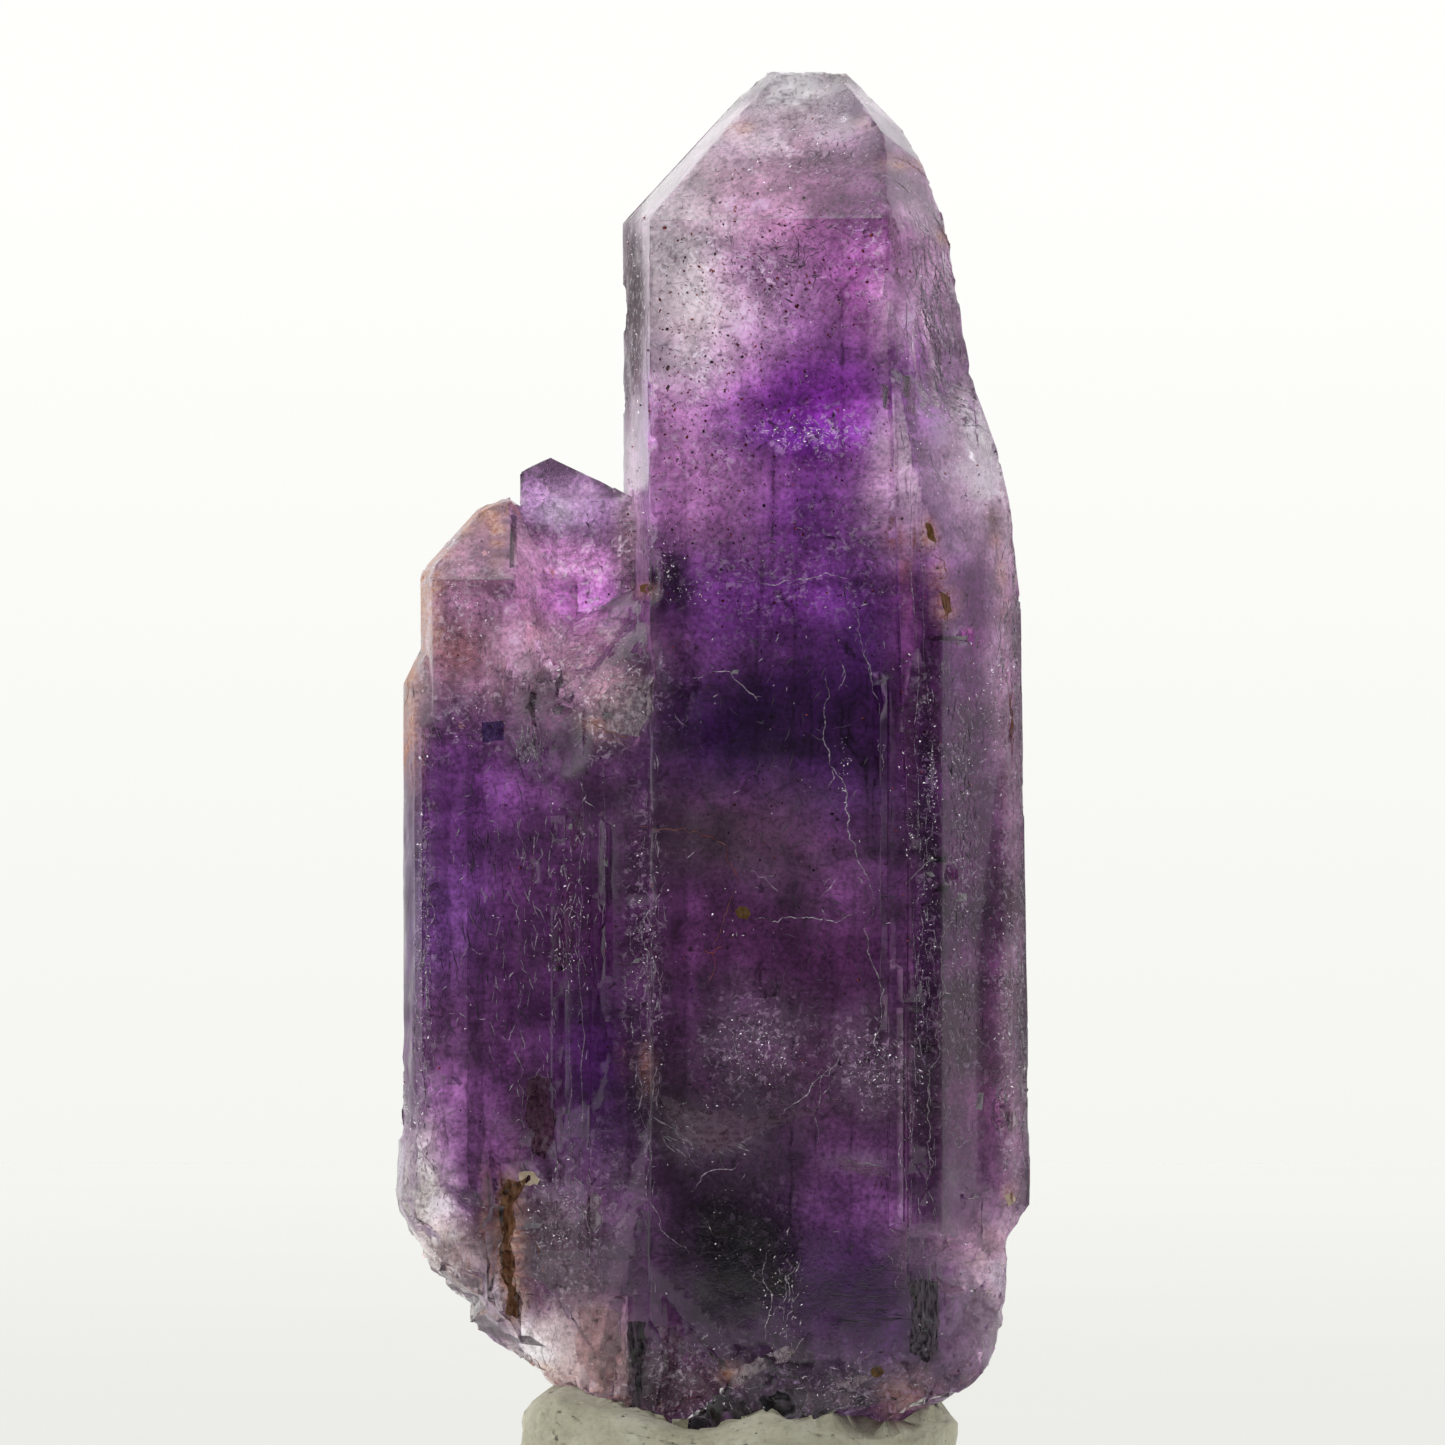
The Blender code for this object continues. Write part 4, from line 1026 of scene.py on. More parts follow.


# Veins, and painted highlights along edges, by colour: width in mm, then x and y of each corner in photo
# pixels
VEINS = {
    "white": [
        (0.1, 825, 676, 826, 700, 823, 730, 829, 752, 838, 776, 845, 800, 847, 830, 856, 858, 868, 880,
         873, 905, 866, 920),
        (0.12, 866, 915, 866, 950, 876, 972, 880, 1004, 872, 1040, 884, 1060), (0.06, 838, 660, 838, 692),
        (0.06, 866, 640, 862, 655, 870, 674, 877, 700, 878, 716), (0.06, 876, 738, 882, 760, 880, 771),
        (0.09, 712, 672, 730, 672, 746, 690, 758, 702), (0.05, 690, 678, 712, 672),
        (0.05, 674, 712, 680, 722, 688, 727), (0.08, 755, 918, 800, 916, 846, 914, 856, 910),
        (0.06, 818, 898, 830, 886, 838, 876), (0.05, 745, 866, 765, 876, 778, 890, 782, 898),
        (0.07, 745, 583, 770, 586, 800, 580, 850, 580), (0.05, 857, 605, 862, 655),
        (0.08, 898, 1065, 903, 1100, 899, 1140, 906, 1190, 908, 1236),
        (0.06, 910, 1070, 907, 1120, 911, 1170), (0.07, 815, 1145, 813, 1110, 819, 1080, 830, 1066),
        (0.07, 850, 1040, 815, 1078, 790, 1104, 770, 1120),
        (0.08, 670, 1090, 688, 1118, 697, 1136, 708, 1150),
        (0.05, 664, 1104, 676, 1128, 690, 1156, 704, 1166), (0.05, 708, 1150, 735, 1142, 762, 1122),
        (0.05, 720, 1020, 736, 1050, 741, 1074, 730, 1086), (0.05, 741, 1014, 762, 1040, 778, 1034),
        (0.05, 806, 1330, 790, 1350, 780, 1365),
        (0.07, 770, 1246, 762, 1270, 771, 1300, 766, 1330, 782, 1356),
        (0.05, 800, 1250, 786, 1276, 792, 1306, 780, 1330),
        (0.06, 640, 1110, 652, 1150, 646, 1190, 664, 1230, 690, 1252),
        (0.05, 690, 1190, 712, 1168, 740, 1158), (0.06, 640, 880, 652, 905, 640, 930, 648, 968, 640, 1000),
        (0.05, 665, 880, 656, 900, 660, 930), (0.05, 648, 960, 662, 985, 660, 1004),
        (0.05, 519, 1050, 523, 1110, 518, 1160, 528, 1190),
        (0.06, 524, 1078, 540, 1074, 556, 1090, 552, 1130, 556, 1158),
        (0.05, 424, 800, 420, 860, 427, 930, 421, 1000, 428, 1080),
        (0.07, 412, 1085, 424, 1100, 420, 1140, 436, 1168, 430, 1200),
        (0.05, 430, 1190, 452, 1204, 470, 1232, 464, 1262), (0.05, 450, 1170, 462, 1198, 488, 1206),
        (0.06, 482, 1207, 480, 1250, 486, 1290, 482, 1328), (0.05, 508, 1180, 507, 1240, 510, 1322),
        (0.06, 436, 1288, 458, 1298, 482, 1309, 504, 1328), (0.05, 485, 1271, 487, 1309, 508, 1328),
        (0.06, 533, 1309, 550, 1317, 554, 1343, 550, 1364),
        (0.06, 508, 1326, 529, 1321, 544, 1360, 567, 1389), (0.05, 510, 1330, 526, 1360, 550, 1386),
        (0.06, 587, 1189, 602, 1196, 602, 1222, 594, 1233, 586, 1216, 587, 1190),
        (0.05, 594, 1233, 600, 1262, 605, 1295), (0.06, 651, 658, 624, 672, 590, 691, 576, 704, 566, 720),
        (0.05, 535, 628, 560, 640, 600, 636, 640, 620), (0.05, 538, 700, 560, 680, 590, 668, 606, 650),
        (0.05, 520, 642, 524, 660, 519, 690), (0.05, 532, 640, 534, 668, 530, 702),
        (0.08, 512, 720, 524, 736, 530, 758, 520, 762), (0.06, 542, 585, 556, 596, 572, 600),
        (0.05, 546, 578, 560, 588, 574, 592), (0.06, 545, 500, 560, 508, 572, 522),
        (0.05, 884, 198, 890, 240, 900, 290), (0.05, 905, 230, 920, 280, 932, 330, 950, 380),
        (0.05, 916, 240, 930, 300, 944, 350), (0.05, 926, 236, 938, 276, 948, 300),
        (0.07, 700, 262, 722, 250, 744, 262, 770, 268), (0.05, 650, 300, 668, 286, 690, 284, 700, 300),
        (0.05, 690, 390, 700, 398, 706, 412), (0.05, 790, 178, 792, 200),
        (0.06, 820, 100, 836, 116, 856, 112), (0.05, 780, 122, 800, 132, 826, 128, 846, 138),
        (0.05, 764, 98, 772, 118, 744, 150), (0.05, 917, 388, 950, 404, 980, 430, 1000, 445),
        (0.05, 953, 1132, 967, 1138, 956, 1145, 953, 1133), (0.07, 724, 1377, 690, 1350, 648, 1318),
        (0.06, 640, 1440, 660, 1415, 690, 1400, 724, 1380), (0.05, 835, 1372, 852, 1384, 875, 1380),
        (0.05, 870, 1240, 900, 1262, 905, 1290),
    ],
    "grey": [
        (0.1, 904, 884, 914, 872, 921, 866, 928, 858),
        (0.12, 951, 890, 953, 916, 944, 928, 940, 950, 941, 980, 944, 1010, 940, 1030, 930, 1012),
        (0.1, 944, 1000, 938, 1050, 926, 1085, 928, 1130, 924, 1180, 930, 1240),
        (0.06, 940, 980, 936, 1020, 938, 1060), (0.12, 835, 1152, 858, 1160, 882, 1163),
        (0.06, 836, 1158, 880, 1169),
    ],
    "pale": [
        # Straight pale lines along the crystal's edges: painted highlights of the edges
        (0.05, 915, 420, 915, 640, 914, 860), (0.05, 921, 425, 922, 640, 921, 700),
        (0.05, 650, 232, 650, 420, 651, 640), (0.04, 913, 880, 913, 1060, 914, 1240),
        (0.05, 583, 770, 583, 900, 582, 1080, 584, 1290), (0.05, 604, 790, 605, 862, 603, 915, 604, 960),
        (0.05, 568, 1000, 569, 1120, 568, 1250),
    ],
    "rust": [
        (0.09, 640, 826, 668, 828, 690, 832, 706, 836), (0.07, 716, 840, 727, 845),
        (0.06, 737, 884, 728, 905, 722, 925, 712, 944), (0.09, 890, 160, 906, 164, 918, 172, 926, 180),
        (0.1, 942, 228, 946, 240, 948, 250), (0.1, 922, 522, 926, 532, 934, 540, 931, 548),
        (0.1, 930, 555, 942, 562, 946, 576, 938, 582),
        (0.12, 936, 590, 944, 600, 950, 606, 946, 622, 938, 616),
        (0.09, 575, 716, 592, 722, 612, 732, 632, 738), (0.06, 584, 742, 604, 738, 630, 744),
        (0.12, 502, 1180, 510, 1210, 506, 1250, 516, 1290, 520, 1320),
        (0.08, 532, 1232, 540, 1256, 550, 1284), (0.12, 522, 1352, 540, 1368, 556, 1384, 570, 1392),
        (0.08, 600, 1402, 612, 1410, 626, 1410), (0.08, 421, 560, 418, 600, 412, 650, 408, 690, 410, 760),
        (0.06, 432, 548, 450, 530, 470, 516, 488, 504), (0.05, 440, 672, 470, 660, 486, 676),
    ],
    "red": [
        (0.14, 700, 836, 712, 836, 716, 840), (0.07, 727, 845, 729, 862, 736, 872, 737, 884),
        (0.1, 704, 948, 714, 952, 724, 942), (0.06, 712, 950, 716, 966, 708, 982),
        (0.08, 655, 1432, 676, 1408, 700, 1395, 735, 1372, 758, 1358),
        (0.05, 1014, 700, 1012, 760, 1016, 800),
    ],
    "glow": [
        (0.05, 525, 574, 528, 596, 540, 611, 558, 620), (0.05, 529, 568, 534, 590, 546, 605, 564, 616),
        (0.06, 535, 576, 548, 574, 560, 574), (0.05, 536, 582, 548, 580, 558, 580),
        (0.06, 538, 588, 549, 587, 560, 587), (0.05, 540, 594, 552, 591, 561, 592),
        (0.06, 546, 602, 557, 599, 564, 600), (0.05, 552, 606, 561, 605, 569, 606),
        (0.07, 561, 617, 577, 620, 595, 611, 613, 599), (0.05, 570, 612, 586, 608, 604, 598),
    ],
}

# Short fibres on the surface by colour, and a few painted edge highlights: slope and its spread in degrees,
# count, and length in mm
FIBRES = {
    "pale": [
        (930, 300, 26, 100, 73, 14, 150, 2.0), (944, 330, 14, 90, 73, 10, 60, 1.6),
        (460, 1235, 34, 56, 60, 30, 50, 0.5), (418, 1165, 20, 60, 72, 20, 40, 0.5),
        (958, 756, 16, 50, 86, 10, 50, 0.7), (960, 940, 18, 240, 82, 22, 90, 0.5),
        (540, 930, 60, 200, 86, 14, 120, 0.9), (1003, 640, 10, 130, 88, 12, 60, 1.1),
        (925, 960, 12, 320, 89, 5, 60, 1.0), (650, 980, 12, 230, 88, 8, 70, 1.1),
        (970, 800, 30, 330, 84, 30, 60, 0.6), (780, 700, 200, 500, 60, 60, 80, 0.5),
        (490, 900, 60, 220, 70, 50, 50, 0.5),
    ],
    "grey": [
        (922, 1315, 13, 36, 95, 14, 60, 1.2), (705, 1130, 50, 26, 34, 12, 34, 1.2),
    ],
    "dusk": [
        (866, 1300, 36, 36, 2, 3, 40, 1.6), (962, 860, 18, 220, 86, 14, 170, 0.8),
        (800, 900, 130, 280, 84, 40, 160, 0.9), (490, 920, 60, 200, 86, 14, 90, 1.2),
        (820, 150, 54, 30, -20, 60, 50, 0.4), (800, 258, 40, 36, 0, 50, 90, 0.6),
        (690, 280, 50, 90, 0, 60, 40, 0.3), (600, 516, 26, 30, 20, 50, 40, 0.3),
    ],
    "glow": [
        (806, 437, 50, 14, 8, 26, 34, 0.4), (872, 250, 30, 60, -8, 16, 50, 0.5),
    ],
    "white": [
        (950, 405, 44, 26, 32, 10, 60, 1.4), (533, 745, 14, 18, 80, 14, 40, 0.9),
        (575, 690, 60, 46, -28, 18, 60, 0.8), (560, 1230, 42, 74, 80, 34, 90, 0.7),
        (690, 1380, 52, 44, 62, 50, 110, 0.8), (860, 1385, 64, 22, -24, 22, 70, 0.8),
        # The rows at x 1014 and 1021 are painted highlights along the bright right edge face
        (1008, 1000, 9, 170, 88, 14, 90, 0.8), (1014, 620, 4, 160, 88, 3, 60, 2.0),
        (1021, 960, 4, 200, 90, 3, 70, 2.2), (530, 690, 12, 30, -60, 24, 40, 0.7),
        (944, 668, 6, 9, 88, 6, 16, 0.8), (524, 742, 12, 18, 78, 10, 30, 0.9),
        (600, 640, 44, 30, -24, 20, 50, 0.6), (424, 900, 6, 200, 89, 6, 70, 0.9),
        (760, 1048, 34, 30, -40, 26, 30, 0.35), (876, 1062, 30, 30, 70, 30, 34, 0.4),
        (790, 1300, 16, 54, 100, 16, 36, 0.5), (570, 920, 26, 130, 88, 20, 70, 0.6),
    ],
    "rust": [
        (1010, 720, 3, 40, 90, 6, 24, 1.0),
    ],
}

# Colours of the veins: dark and light shade, roughness, clearness and metal sheen
VEIN_SHADES = {
    "white": ((150, 134, 154), (232, 222, 234), 0.25, 0.5, 0.35),
    "grey": ((116, 106, 116), (186, 178, 186), 0.3, 0.5, 0.25),
    "pale": ((150, 134, 156), (206, 194, 210), 0.25, 0.5, 0.3),
    "glow": ((204, 130, 232), (246, 212, 254), 0.2, 0.3, 0.5),
    "dusk": ((20, 10, 28), (52, 28, 64), 0.4, 0.4, 0.0),
    "rust": ((108, 56, 26), (170, 104, 62), 0.6, 0.3, 0.0),
    "red": ((112, 30, 22), (160, 60, 42), 0.5, 0.2, 0.0),
}

# The longest steps of a path, in photo pixels, and how crooked it is. A twig branches off a vein
VEIN_STEP = 5.0
TWIG_STEP = 4.0
TWIG_REACH = 16
STRAIGHT, UNEVEN, CURLED = 0.02, 0.1, 0.2
FIBRE_JITTER = 0.05
# Widths of ribbons as shares of the vein's width, and of fibres in mm
STRAIGHT_WIDTH, UNEVEN_WIDTH, TWIG_WIDTH = 0.7, 0.6, 0.35
FIBRE_WIDTHS = (0.025, 0.07)
# Half a fibre's length, as a share of the row's
FIBRE_SHARES = (0.2, 0.6)
# The surface jumps where the next place is further off than this, in mm
LARGEST_JUMP = 1.2


def add_veins(body):
    """The veins, veils' edges, rusty lines and painted highlights along edges on the surface, each its own
    piece by colour.
    """
    for seed, (name, looks) in enumerate(VEIN_SHADES.items(), 41):
        pile = Pile(seed)
        random = pile.random
        straight = name == "pale"
        for width, *row in VEINS.get(name, ()):
            corners = pairs(row)
            path = crooked(corners, VEIN_STEP, STRAIGHT if straight else UNEVEN, random)
            lay(pile, body, path, width * (STRAIGHT_WIDTH if straight else UNEVEN_WIDTH))
            if name in ("white", "grey") and len(corners) > 2:
                start = random.choice(path)
                end = start + Vector((random.uniform(-1, 1), random.uniform(-1, 1))) * TWIG_REACH
                lay(pile, body, crooked([start, end], TWIG_STEP, CURLED, random), width * TWIG_WIDTH)
        for *spot, angle, spread, count, length in FIBRES.get(name, ()):
            for _ in range(count):
                turn = radians(random.gauss(angle, spread))
                reach = Vector((cos(turn), sin(turn))) * length * PIXELS_PER_MM
                reach *= random.uniform(*FIBRE_SHARES)
                middle = Vector(in_spot(random, *spot))
                path = crooked([middle - reach, middle + reach], VEIN_STEP, FIBRE_JITTER, random)
                lay(pile, body, path, random.uniform(*FIBRE_WIDTHS))
        pile.build(name + "_veins", name + "_vein", *looks)


def lay(pile, body, path, width):
    """Lays a ribbon on the surface along a path of photo pixels, broken where the surface jumps."""
    run = []
    for point in [*path, None]:
        place, normal = body.front(point.x, point.y) if point is not None else (None, None)
        jump = run and place is not None and (place - run[-1][0]).length > LARGEST_JUMP
        if place is None or jump:
            if len(run) > 2:
                places, normals = zip(*run)
                last = len(places) - 1
                bulges = [0.35 + 0.65 * sin(pi * number / last) for number in range(last + 1)]
                widths = [width * bulge * pile.random.uniform(0.45, 1.3) for bulge in bulges]
                pile.ribbon(places, normals, widths, width * 0.7)
            run = []
        if place is not None:
            run.append((place, normal))


# Small facets and films that stand out, by colour: x and y of each corner in photo pixels
PATCHES = {
    "hazy": [
        (1028, 1206, 1000, 1207, 983, 1222, 954, 1242, 927, 1243, 908, 1274, 932, 1275, 961, 1261, 976,
         1234, 998, 1219),
        (657, 1326, 671, 1323, 684, 1336, 722, 1374, 706, 1368, 688, 1346, 666, 1343),
        (884, 200, 892, 222, 899, 262, 900, 290, 893, 282, 887, 244),
        (898, 372, 908, 384, 915, 398, 913, 419, 904, 416, 900, 396),
        (880, 386, 887, 390, 889, 414, 883, 412),
    ],
    "dark": [
        (907, 1277, 936, 1277, 938, 1316, 937, 1344, 925, 1358, 908, 1346),
        (628, 1320, 646, 1320, 642, 1372, 640, 1408, 627, 1406),
    ],
    "brown": [
        (500, 1192, 508, 1178, 518, 1181, 527, 1177, 521, 1192, 513, 1204, 516, 1222, 509, 1240, 515, 1262,
         512, 1284, 523, 1304, 519, 1318, 506, 1314, 508, 1288, 501, 1262, 504, 1236, 498, 1214),
        (524, 1352, 532, 1354, 548, 1372, 564, 1390, 556, 1394, 540, 1378),
        (938, 592, 948, 598, 950, 612, 942, 618),
    ],
    "cream": [
        (519, 1172, 532, 1170, 541, 1178, 538, 1184, 522, 1184),
        (1003, 1193, 1010, 1190, 1015, 1198, 1007, 1204),
    ],
    "pink": [
        (482, 1208, 498, 1205, 499, 1260, 507, 1328, 488, 1326, 480, 1262),
        (578, 1306, 600, 1303, 620, 1312, 624, 1350, 612, 1392, 590, 1376, 574, 1340),
    ],
    "light": [
        (758, 1353, 786, 1341, 796, 1345, 772, 1360, 738, 1381, 729, 1377),
        (834, 1378, 856, 1370, 872, 1372, 852, 1386, 838, 1388),
        (588, 1196, 595, 1190, 602, 1197, 601, 1222, 594, 1232, 587, 1214),
        (1004, 1111, 1013, 1108, 1018, 1121, 1010, 1130, 1005, 1122),
        (598, 702, 620, 682, 654, 677, 655, 710, 640, 737, 607, 729),
    ],
    "ochre": [
        (869, 1366, 874, 1360, 880, 1362, 883, 1367, 877, 1372, 871, 1371),
        (640, 586, 648, 584, 653, 589, 647, 594, 641, 592),
        (735, 910, 740, 905, 747, 906, 751, 912, 747, 918, 739, 917),
        (924, 524, 931, 530, 934, 544, 926, 540),
    ],
    "ink": [
        (482, 722, 503, 721, 504, 741, 483, 742),
    ],
    "plum": [
        (527, 1082, 538, 1074, 552, 1078, 549, 1096, 557, 1116, 553, 1140, 546, 1158, 533, 1152, 536, 1134,
         525, 1116, 530, 1098),
    ],
    "veil": [
        (657, 1093, 700, 1110, 745, 1117, 800, 1107, 842, 1096, 812, 1113, 770, 1126, 735, 1144, 708, 1152,
         688, 1136),
        (700, 1128, 735, 1132, 762, 1128, 735, 1142, 710, 1150),
        (836, 1153, 848, 1157, 858, 1156, 881, 1164, 889, 1172, 857, 1168, 842, 1166),
    ],
}

# Colours of the facets: dark and light shade, roughness, clearness and the grain's fineness each way
PATCH_SHADES = {
    "hazy": ((196, 168, 188), (246, 232, 244), 0.3, 0.84, (6, 6, 3)),
    "light": ((168, 142, 158), (252, 244, 248), 0.15, 0.72, (4, 4, 3)),
    "dark": ((30, 26, 34), (156, 144, 156), 0.3, 0.6, (7, 7, 1.2)),
    "veil": ((204, 176, 194), (250, 236, 246), 0.3, 0.96, (2.5, 2.5, 4)),
    "plum": ((130, 92, 112), (208, 172, 190), 0.3, 0.93, (5, 5, 3)),
    "ink": ((104, 88, 140), (150, 134, 186), 0.2, 0.88, (4, 4, 4)),
    "brown": ((74, 48, 36), (178, 136, 106), 0.4, 0.55, (5, 5, 1.6)),
    "cream": ((200, 178, 152), (236, 220, 198), 0.6, 0.3, (4, 4, 4)),
    "pink": ((220, 196, 198), (248, 232, 232), 0.25, 0.85, (3, 3, 3)),
    "ochre": ((104, 76, 44), (168, 138, 96), 0.6, 0.6, (6, 6, 4)),
}

# How finely the films are cut, in photo pixels, and their half thickness in mm
FILM_EDGE_STEP = 6.0
FILM_STEP = 5
FILM_JITTER = 0.07
FILM_HALF_THICKNESS = 0.02
LARGEST_FILM_JUMP = 1.6


def add_patches(body):
    """Small facets and films on the surface, each a thin closed shell."""
    for seed, (name, (*looks, fineness)) in enumerate(PATCH_SHADES.items(), 81):
        pile = Pile(seed)
        for row in PATCHES[name]:
            corners = pairs(row)
            outline = crooked([*corners, corners[0]], FILM_EDGE_STEP, FILM_JITTER, pile.random)[:-1]
            flat = bmesh.new()
            flat.faces.new([flat.verts.new((point.x, point.y, 0)) for point in outline])
            for axis in (0, 1):
                low, high = min(point[axis] for point in outline), max(point[axis] for point in outline)
                for number in range(1, int((high - low) / FILM_STEP)):
                    cut(flat, axis, along(axis, low + number * FILM_STEP), 1e-5)
            bmesh.ops.triangulate(flat, faces=flat.faces[:])
            bmesh.ops.recalc_face_normals(flat, faces=flat.faces[:])
            add_shell(pile, body, flat)
            flat.free()
        pile.build(name + "_facets", name + "_facet", *looks, fineness=fineness, ior=FILM_IOR)


def add_shell(pile, body, flat):
    """Lays a flat shape on the surface as a closed shell. It is left out where the surface jumps under it."""
    found = [body.front(vert.co.x, vert.co.y) for vert in flat.verts]
    if any(place is None for place, _ in found):
        return
    flat.verts.index_update()
    for edge in flat.edges:
        a, b = (found[vert.index][0] for vert in edge.verts)
        if (a - b).length > LARGEST_FILM_JUMP:
            return
    start, count = len(pile.points), len(found)
    for side in (FILM_HALF_THICKNESS, -FILM_HALF_THICKNESS):
        pile.points += [place + normal * side for place, normal in found]
    flip = None
    for face in flat.faces:
        numbers = [start + vert.index for vert in face.verts]
        a, b, c = (pile.points[number] for number in numbers)
        if flip is None:
            flip = (b - a).cross(c - a).y > 0
        if flip:
            numbers.reverse()
        pile.faces.append(tuple(numbers))
        pile.faces.append(tuple(number + count for number in reversed(numbers)))
    for edge in flat.edges:
        if len(edge.link_faces) != 1:
            continue
        loop = edge.link_loops[0]
        a, b = start + loop.vert.index, start + loop.link_loop_next.vert.index
        if flip:
            a, b = b, a
        pile.faces.append((b, a, a + count, b + count))


# Small bright plates that steps in the surface leave, and how they lean
# Their pale grey colour is a painted reflection of the step faces, besides their real gloss
PLATES = [
    (936, 858, 10, 3, 0.1), (941, 887, 6, 3.5, 0.5), (929, 873, 4, 2.5, -0.9), (960, 896, 6, 3.5, 0.2),
    (947, 639, 17, 2.5, 0.1), (906, 388, 3, 14, 0.0), (884, 400, 2, 12, 0.2), (978, 1098, 3, 8, 0.2),
    (991, 1337, 7, 2.5, -0.5), (532, 1225, 9, 3, 0.3), (558, 710, 5, 5, 0.4), (608, 716, 5, 4, 0.4),
    (606, 862, 2.5, 4, 0.0), (560, 968, 6, 2, 0.2), (558, 959, 3, 1, 0.0), (571, 826, 2.5, 3, 0.0),
    (637, 960, 3, 3, 0.3), (736, 672, 4, 2, 0.2), (512, 540, 3, 26, 0.15), (646, 1420, 7, 12, 0.4),
    (555, 1376, 16, 6, -0.5), (525, 1340, 12, 6, -0.5),
]
PLATE_HALF_THICKNESS = 0.06
# Pale grey: a painted reflection of the step faces
PLATE_LOOKS = ((150, 144, 152), (206, 200, 208), 0.15, 0.7)


def add_plates(body):
    """Bright little plates where the surface steps: their pale grey is a painted reflection, their gloss a
    real one.
    """
    pile = Pile(51)
    for px, py, half_px, half_py, lean in PLATES:
        found = []
        for across, up in ((-1, -1), (1, -1), (1, 1), (-1, 1)):
            x = px + (across + up * lean) * half_px * pile.random.uniform(0.6, 1.2)
            y = py - up * half_py * pile.random.uniform(0.6, 1.2)
            found.append(body.front(x, y))
        outline = [place for place, _ in found if place is not None]
        if len(outline) == len(found):
            pile.lens(outline, sum(outline, Vector()) / len(outline), found[0][1], PLATE_HALF_THICKNESS)
    pile.build("step_plates", "step_plate", *PLATE_LOOKS)


# The directions of the sides and the back, about the upright axis
HIDDEN_SIDES = (0.35 * pi, 1.65 * pi)

# Swarms of glints: count, and the deepest they lie under the surface in mm
SWARMS = [
    (636, 330, 12, 140, 210, 0.2), (636, 500, 12, 60, 75, 0.2), (700, 300, 50, 90, 90, 1.5),
    (800, 435, 50, 22, 165, 0.6), (825, 140, 50, 34, 180, 1.0), (780, 330, 110, 120, 240, 2.0),
    (920, 330, 30, 140, 225, 0.6), (965, 470, 40, 70, 135, 0.8), (998, 700, 16, 180, 240, 0.6),
    (1006, 1010, 12, 170, 520, 0.2), (925, 860, 12, 260, 520, 0.2), (903, 740, 6, 120, 90, 0.3),
    (917, 1060, 8, 130, 90, 0.3), (760, 1050, 40, 34, 420, 0.3), (876, 1062, 34, 32, 380, 0.3),
    (700, 1120, 60, 50, 165, 0.4), (784, 1300, 20, 62, 380, 0.3), (720, 1240, 60, 80, 105, 0.8),
    (645, 950, 18, 110, 340, 0.2), (578, 900, 22, 130, 380, 0.3), (565, 960, 18, 14, 90, 0.1),
    (558, 508, 14, 16, 50, 0.1), (930, 775, 6, 28, 160, 0.05), (668, 560, 14, 22, 120, 0.2),
    (690, 592, 24, 12, 80, 0.2), (1001, 676, 12, 26, 120, 0.1), (958, 760, 16, 60, 160, 0.1),
    (960, 930, 16, 120, 160, 0.1), (600, 650, 50, 40, 200, 0.1), (720, 250, 60, 60, 160, 0.4),
    (770, 180, 60, 30, 120, 0.3), (470, 600, 30, 50, 120, 0.1), (908, 830, 6, 30, 80, 0.1),
    (1008, 775, 6, 8, 60, 0.05), (985, 690, 20, 60, 160, 0.1), (843, 762, 8, 30, 60, 0.1),
    (708, 935, 60, 30, 40, 0.1), (650, 1420, 14, 20, 90, 0.05), (526, 762, 8, 6, 40, 0.05),
    (556, 712, 8, 6, 40, 0.05), (805, 435, 44, 14, 160, 0.2), (800, 100, 40, 20, 40, 0.1),
    (423, 960, 8, 200, 480, 0.2), (408, 1110, 10, 30, 90, 0.2), (450, 1220, 40, 60, 225, 0.4),
    (560, 1230, 44, 80, 520, 0.3), (600, 1350, 34, 44, 135, 0.5), (690, 1370, 50, 50, 420, 0.2),
    (860, 1390, 80, 30, 380, 0.2), (960, 1240, 50, 20, 90, 0.2), (922, 1315, 14, 36, 90, 0.2),
    (620, 700, 34, 36, 195, 0.3), (545, 660, 34, 50, 135, 0.4), (655, 575, 14, 40, 105, 0.4),
    (570, 560, 40, 60, 90, 0.6), (465, 560, 40, 50, 120, 0.5), (460, 690, 50, 60, 135, 0.5),
    (780, 700, 240, 560, 500, 0.8), (490, 940, 80, 300, 300, 0.8), (850, 880, 60, 100, 90, 0.6),
]
SWARM_DENSITY = 1.5
GLINTS_ROUND_CHAMBERS = 150
HIDDEN_GLINTS = 1400
GLINT_RADII = (0.03, 0.125)
GLINT_LOOKS = ((236, 228, 238), (254, 252, 254), 0.12, 0.0, 1.0)


def add_glint(pile, place):
    """A steep little mirror: it throws the light from the sides and the back to the front."""
    if place is None:
        return
    random = pile.random
    radius = between(*GLINT_RADII, random.random() ** 1.9)
    facing = pile.any_way(0.62, 0.3)
    pile.flake(place, facing, radius, radius * 0.3, 3, random.uniform(0.5, 1.0), 0.3)


def add_glints(body):
    """Tiny bright chips and crack ends, in swarms, on all sides."""
    pile = Pile(61)
    random = pile.random
    for *spot, count, deepest in SWARMS:
        for _ in range(int(count * SWARM_DENSITY)):
            depth = deepest * random.random() ** 3
            add_glint(pile, body.front(*in_spot(random, *spot), depth)[0])
    for (top_x, top_y), (low_x, low_y), width, _ in CHAMBERS:
        for _ in range(int(GLINTS_ROUND_CHAMBERS * width)):
            turn = random.uniform(0, 2 * pi)
            share = 0.5 - 0.5 * cos(turn)
            reach = width * PIXELS_PER_MM * sin(turn) * (1 - 0.45 * (1 - share))
            px = top_x + (low_x - top_x) * share + reach + random.gauss(0, 0.8)
            py = top_y + (low_y - top_y) * share + random.gauss(0, 0.8)
            add_glint(pile, body.front(px, py, random.uniform(0.0, 0.1))[0])
    for _ in range(HIDDEN_GLINTS):
        place, _ = body.around(random.uniform(*HIDDEN_SIDES), random.uniform(3, 71), random.uniform(0, 0.6))
        add_glint(pile, place)
    pile.build("glints", "glint", *GLINT_LOOKS)


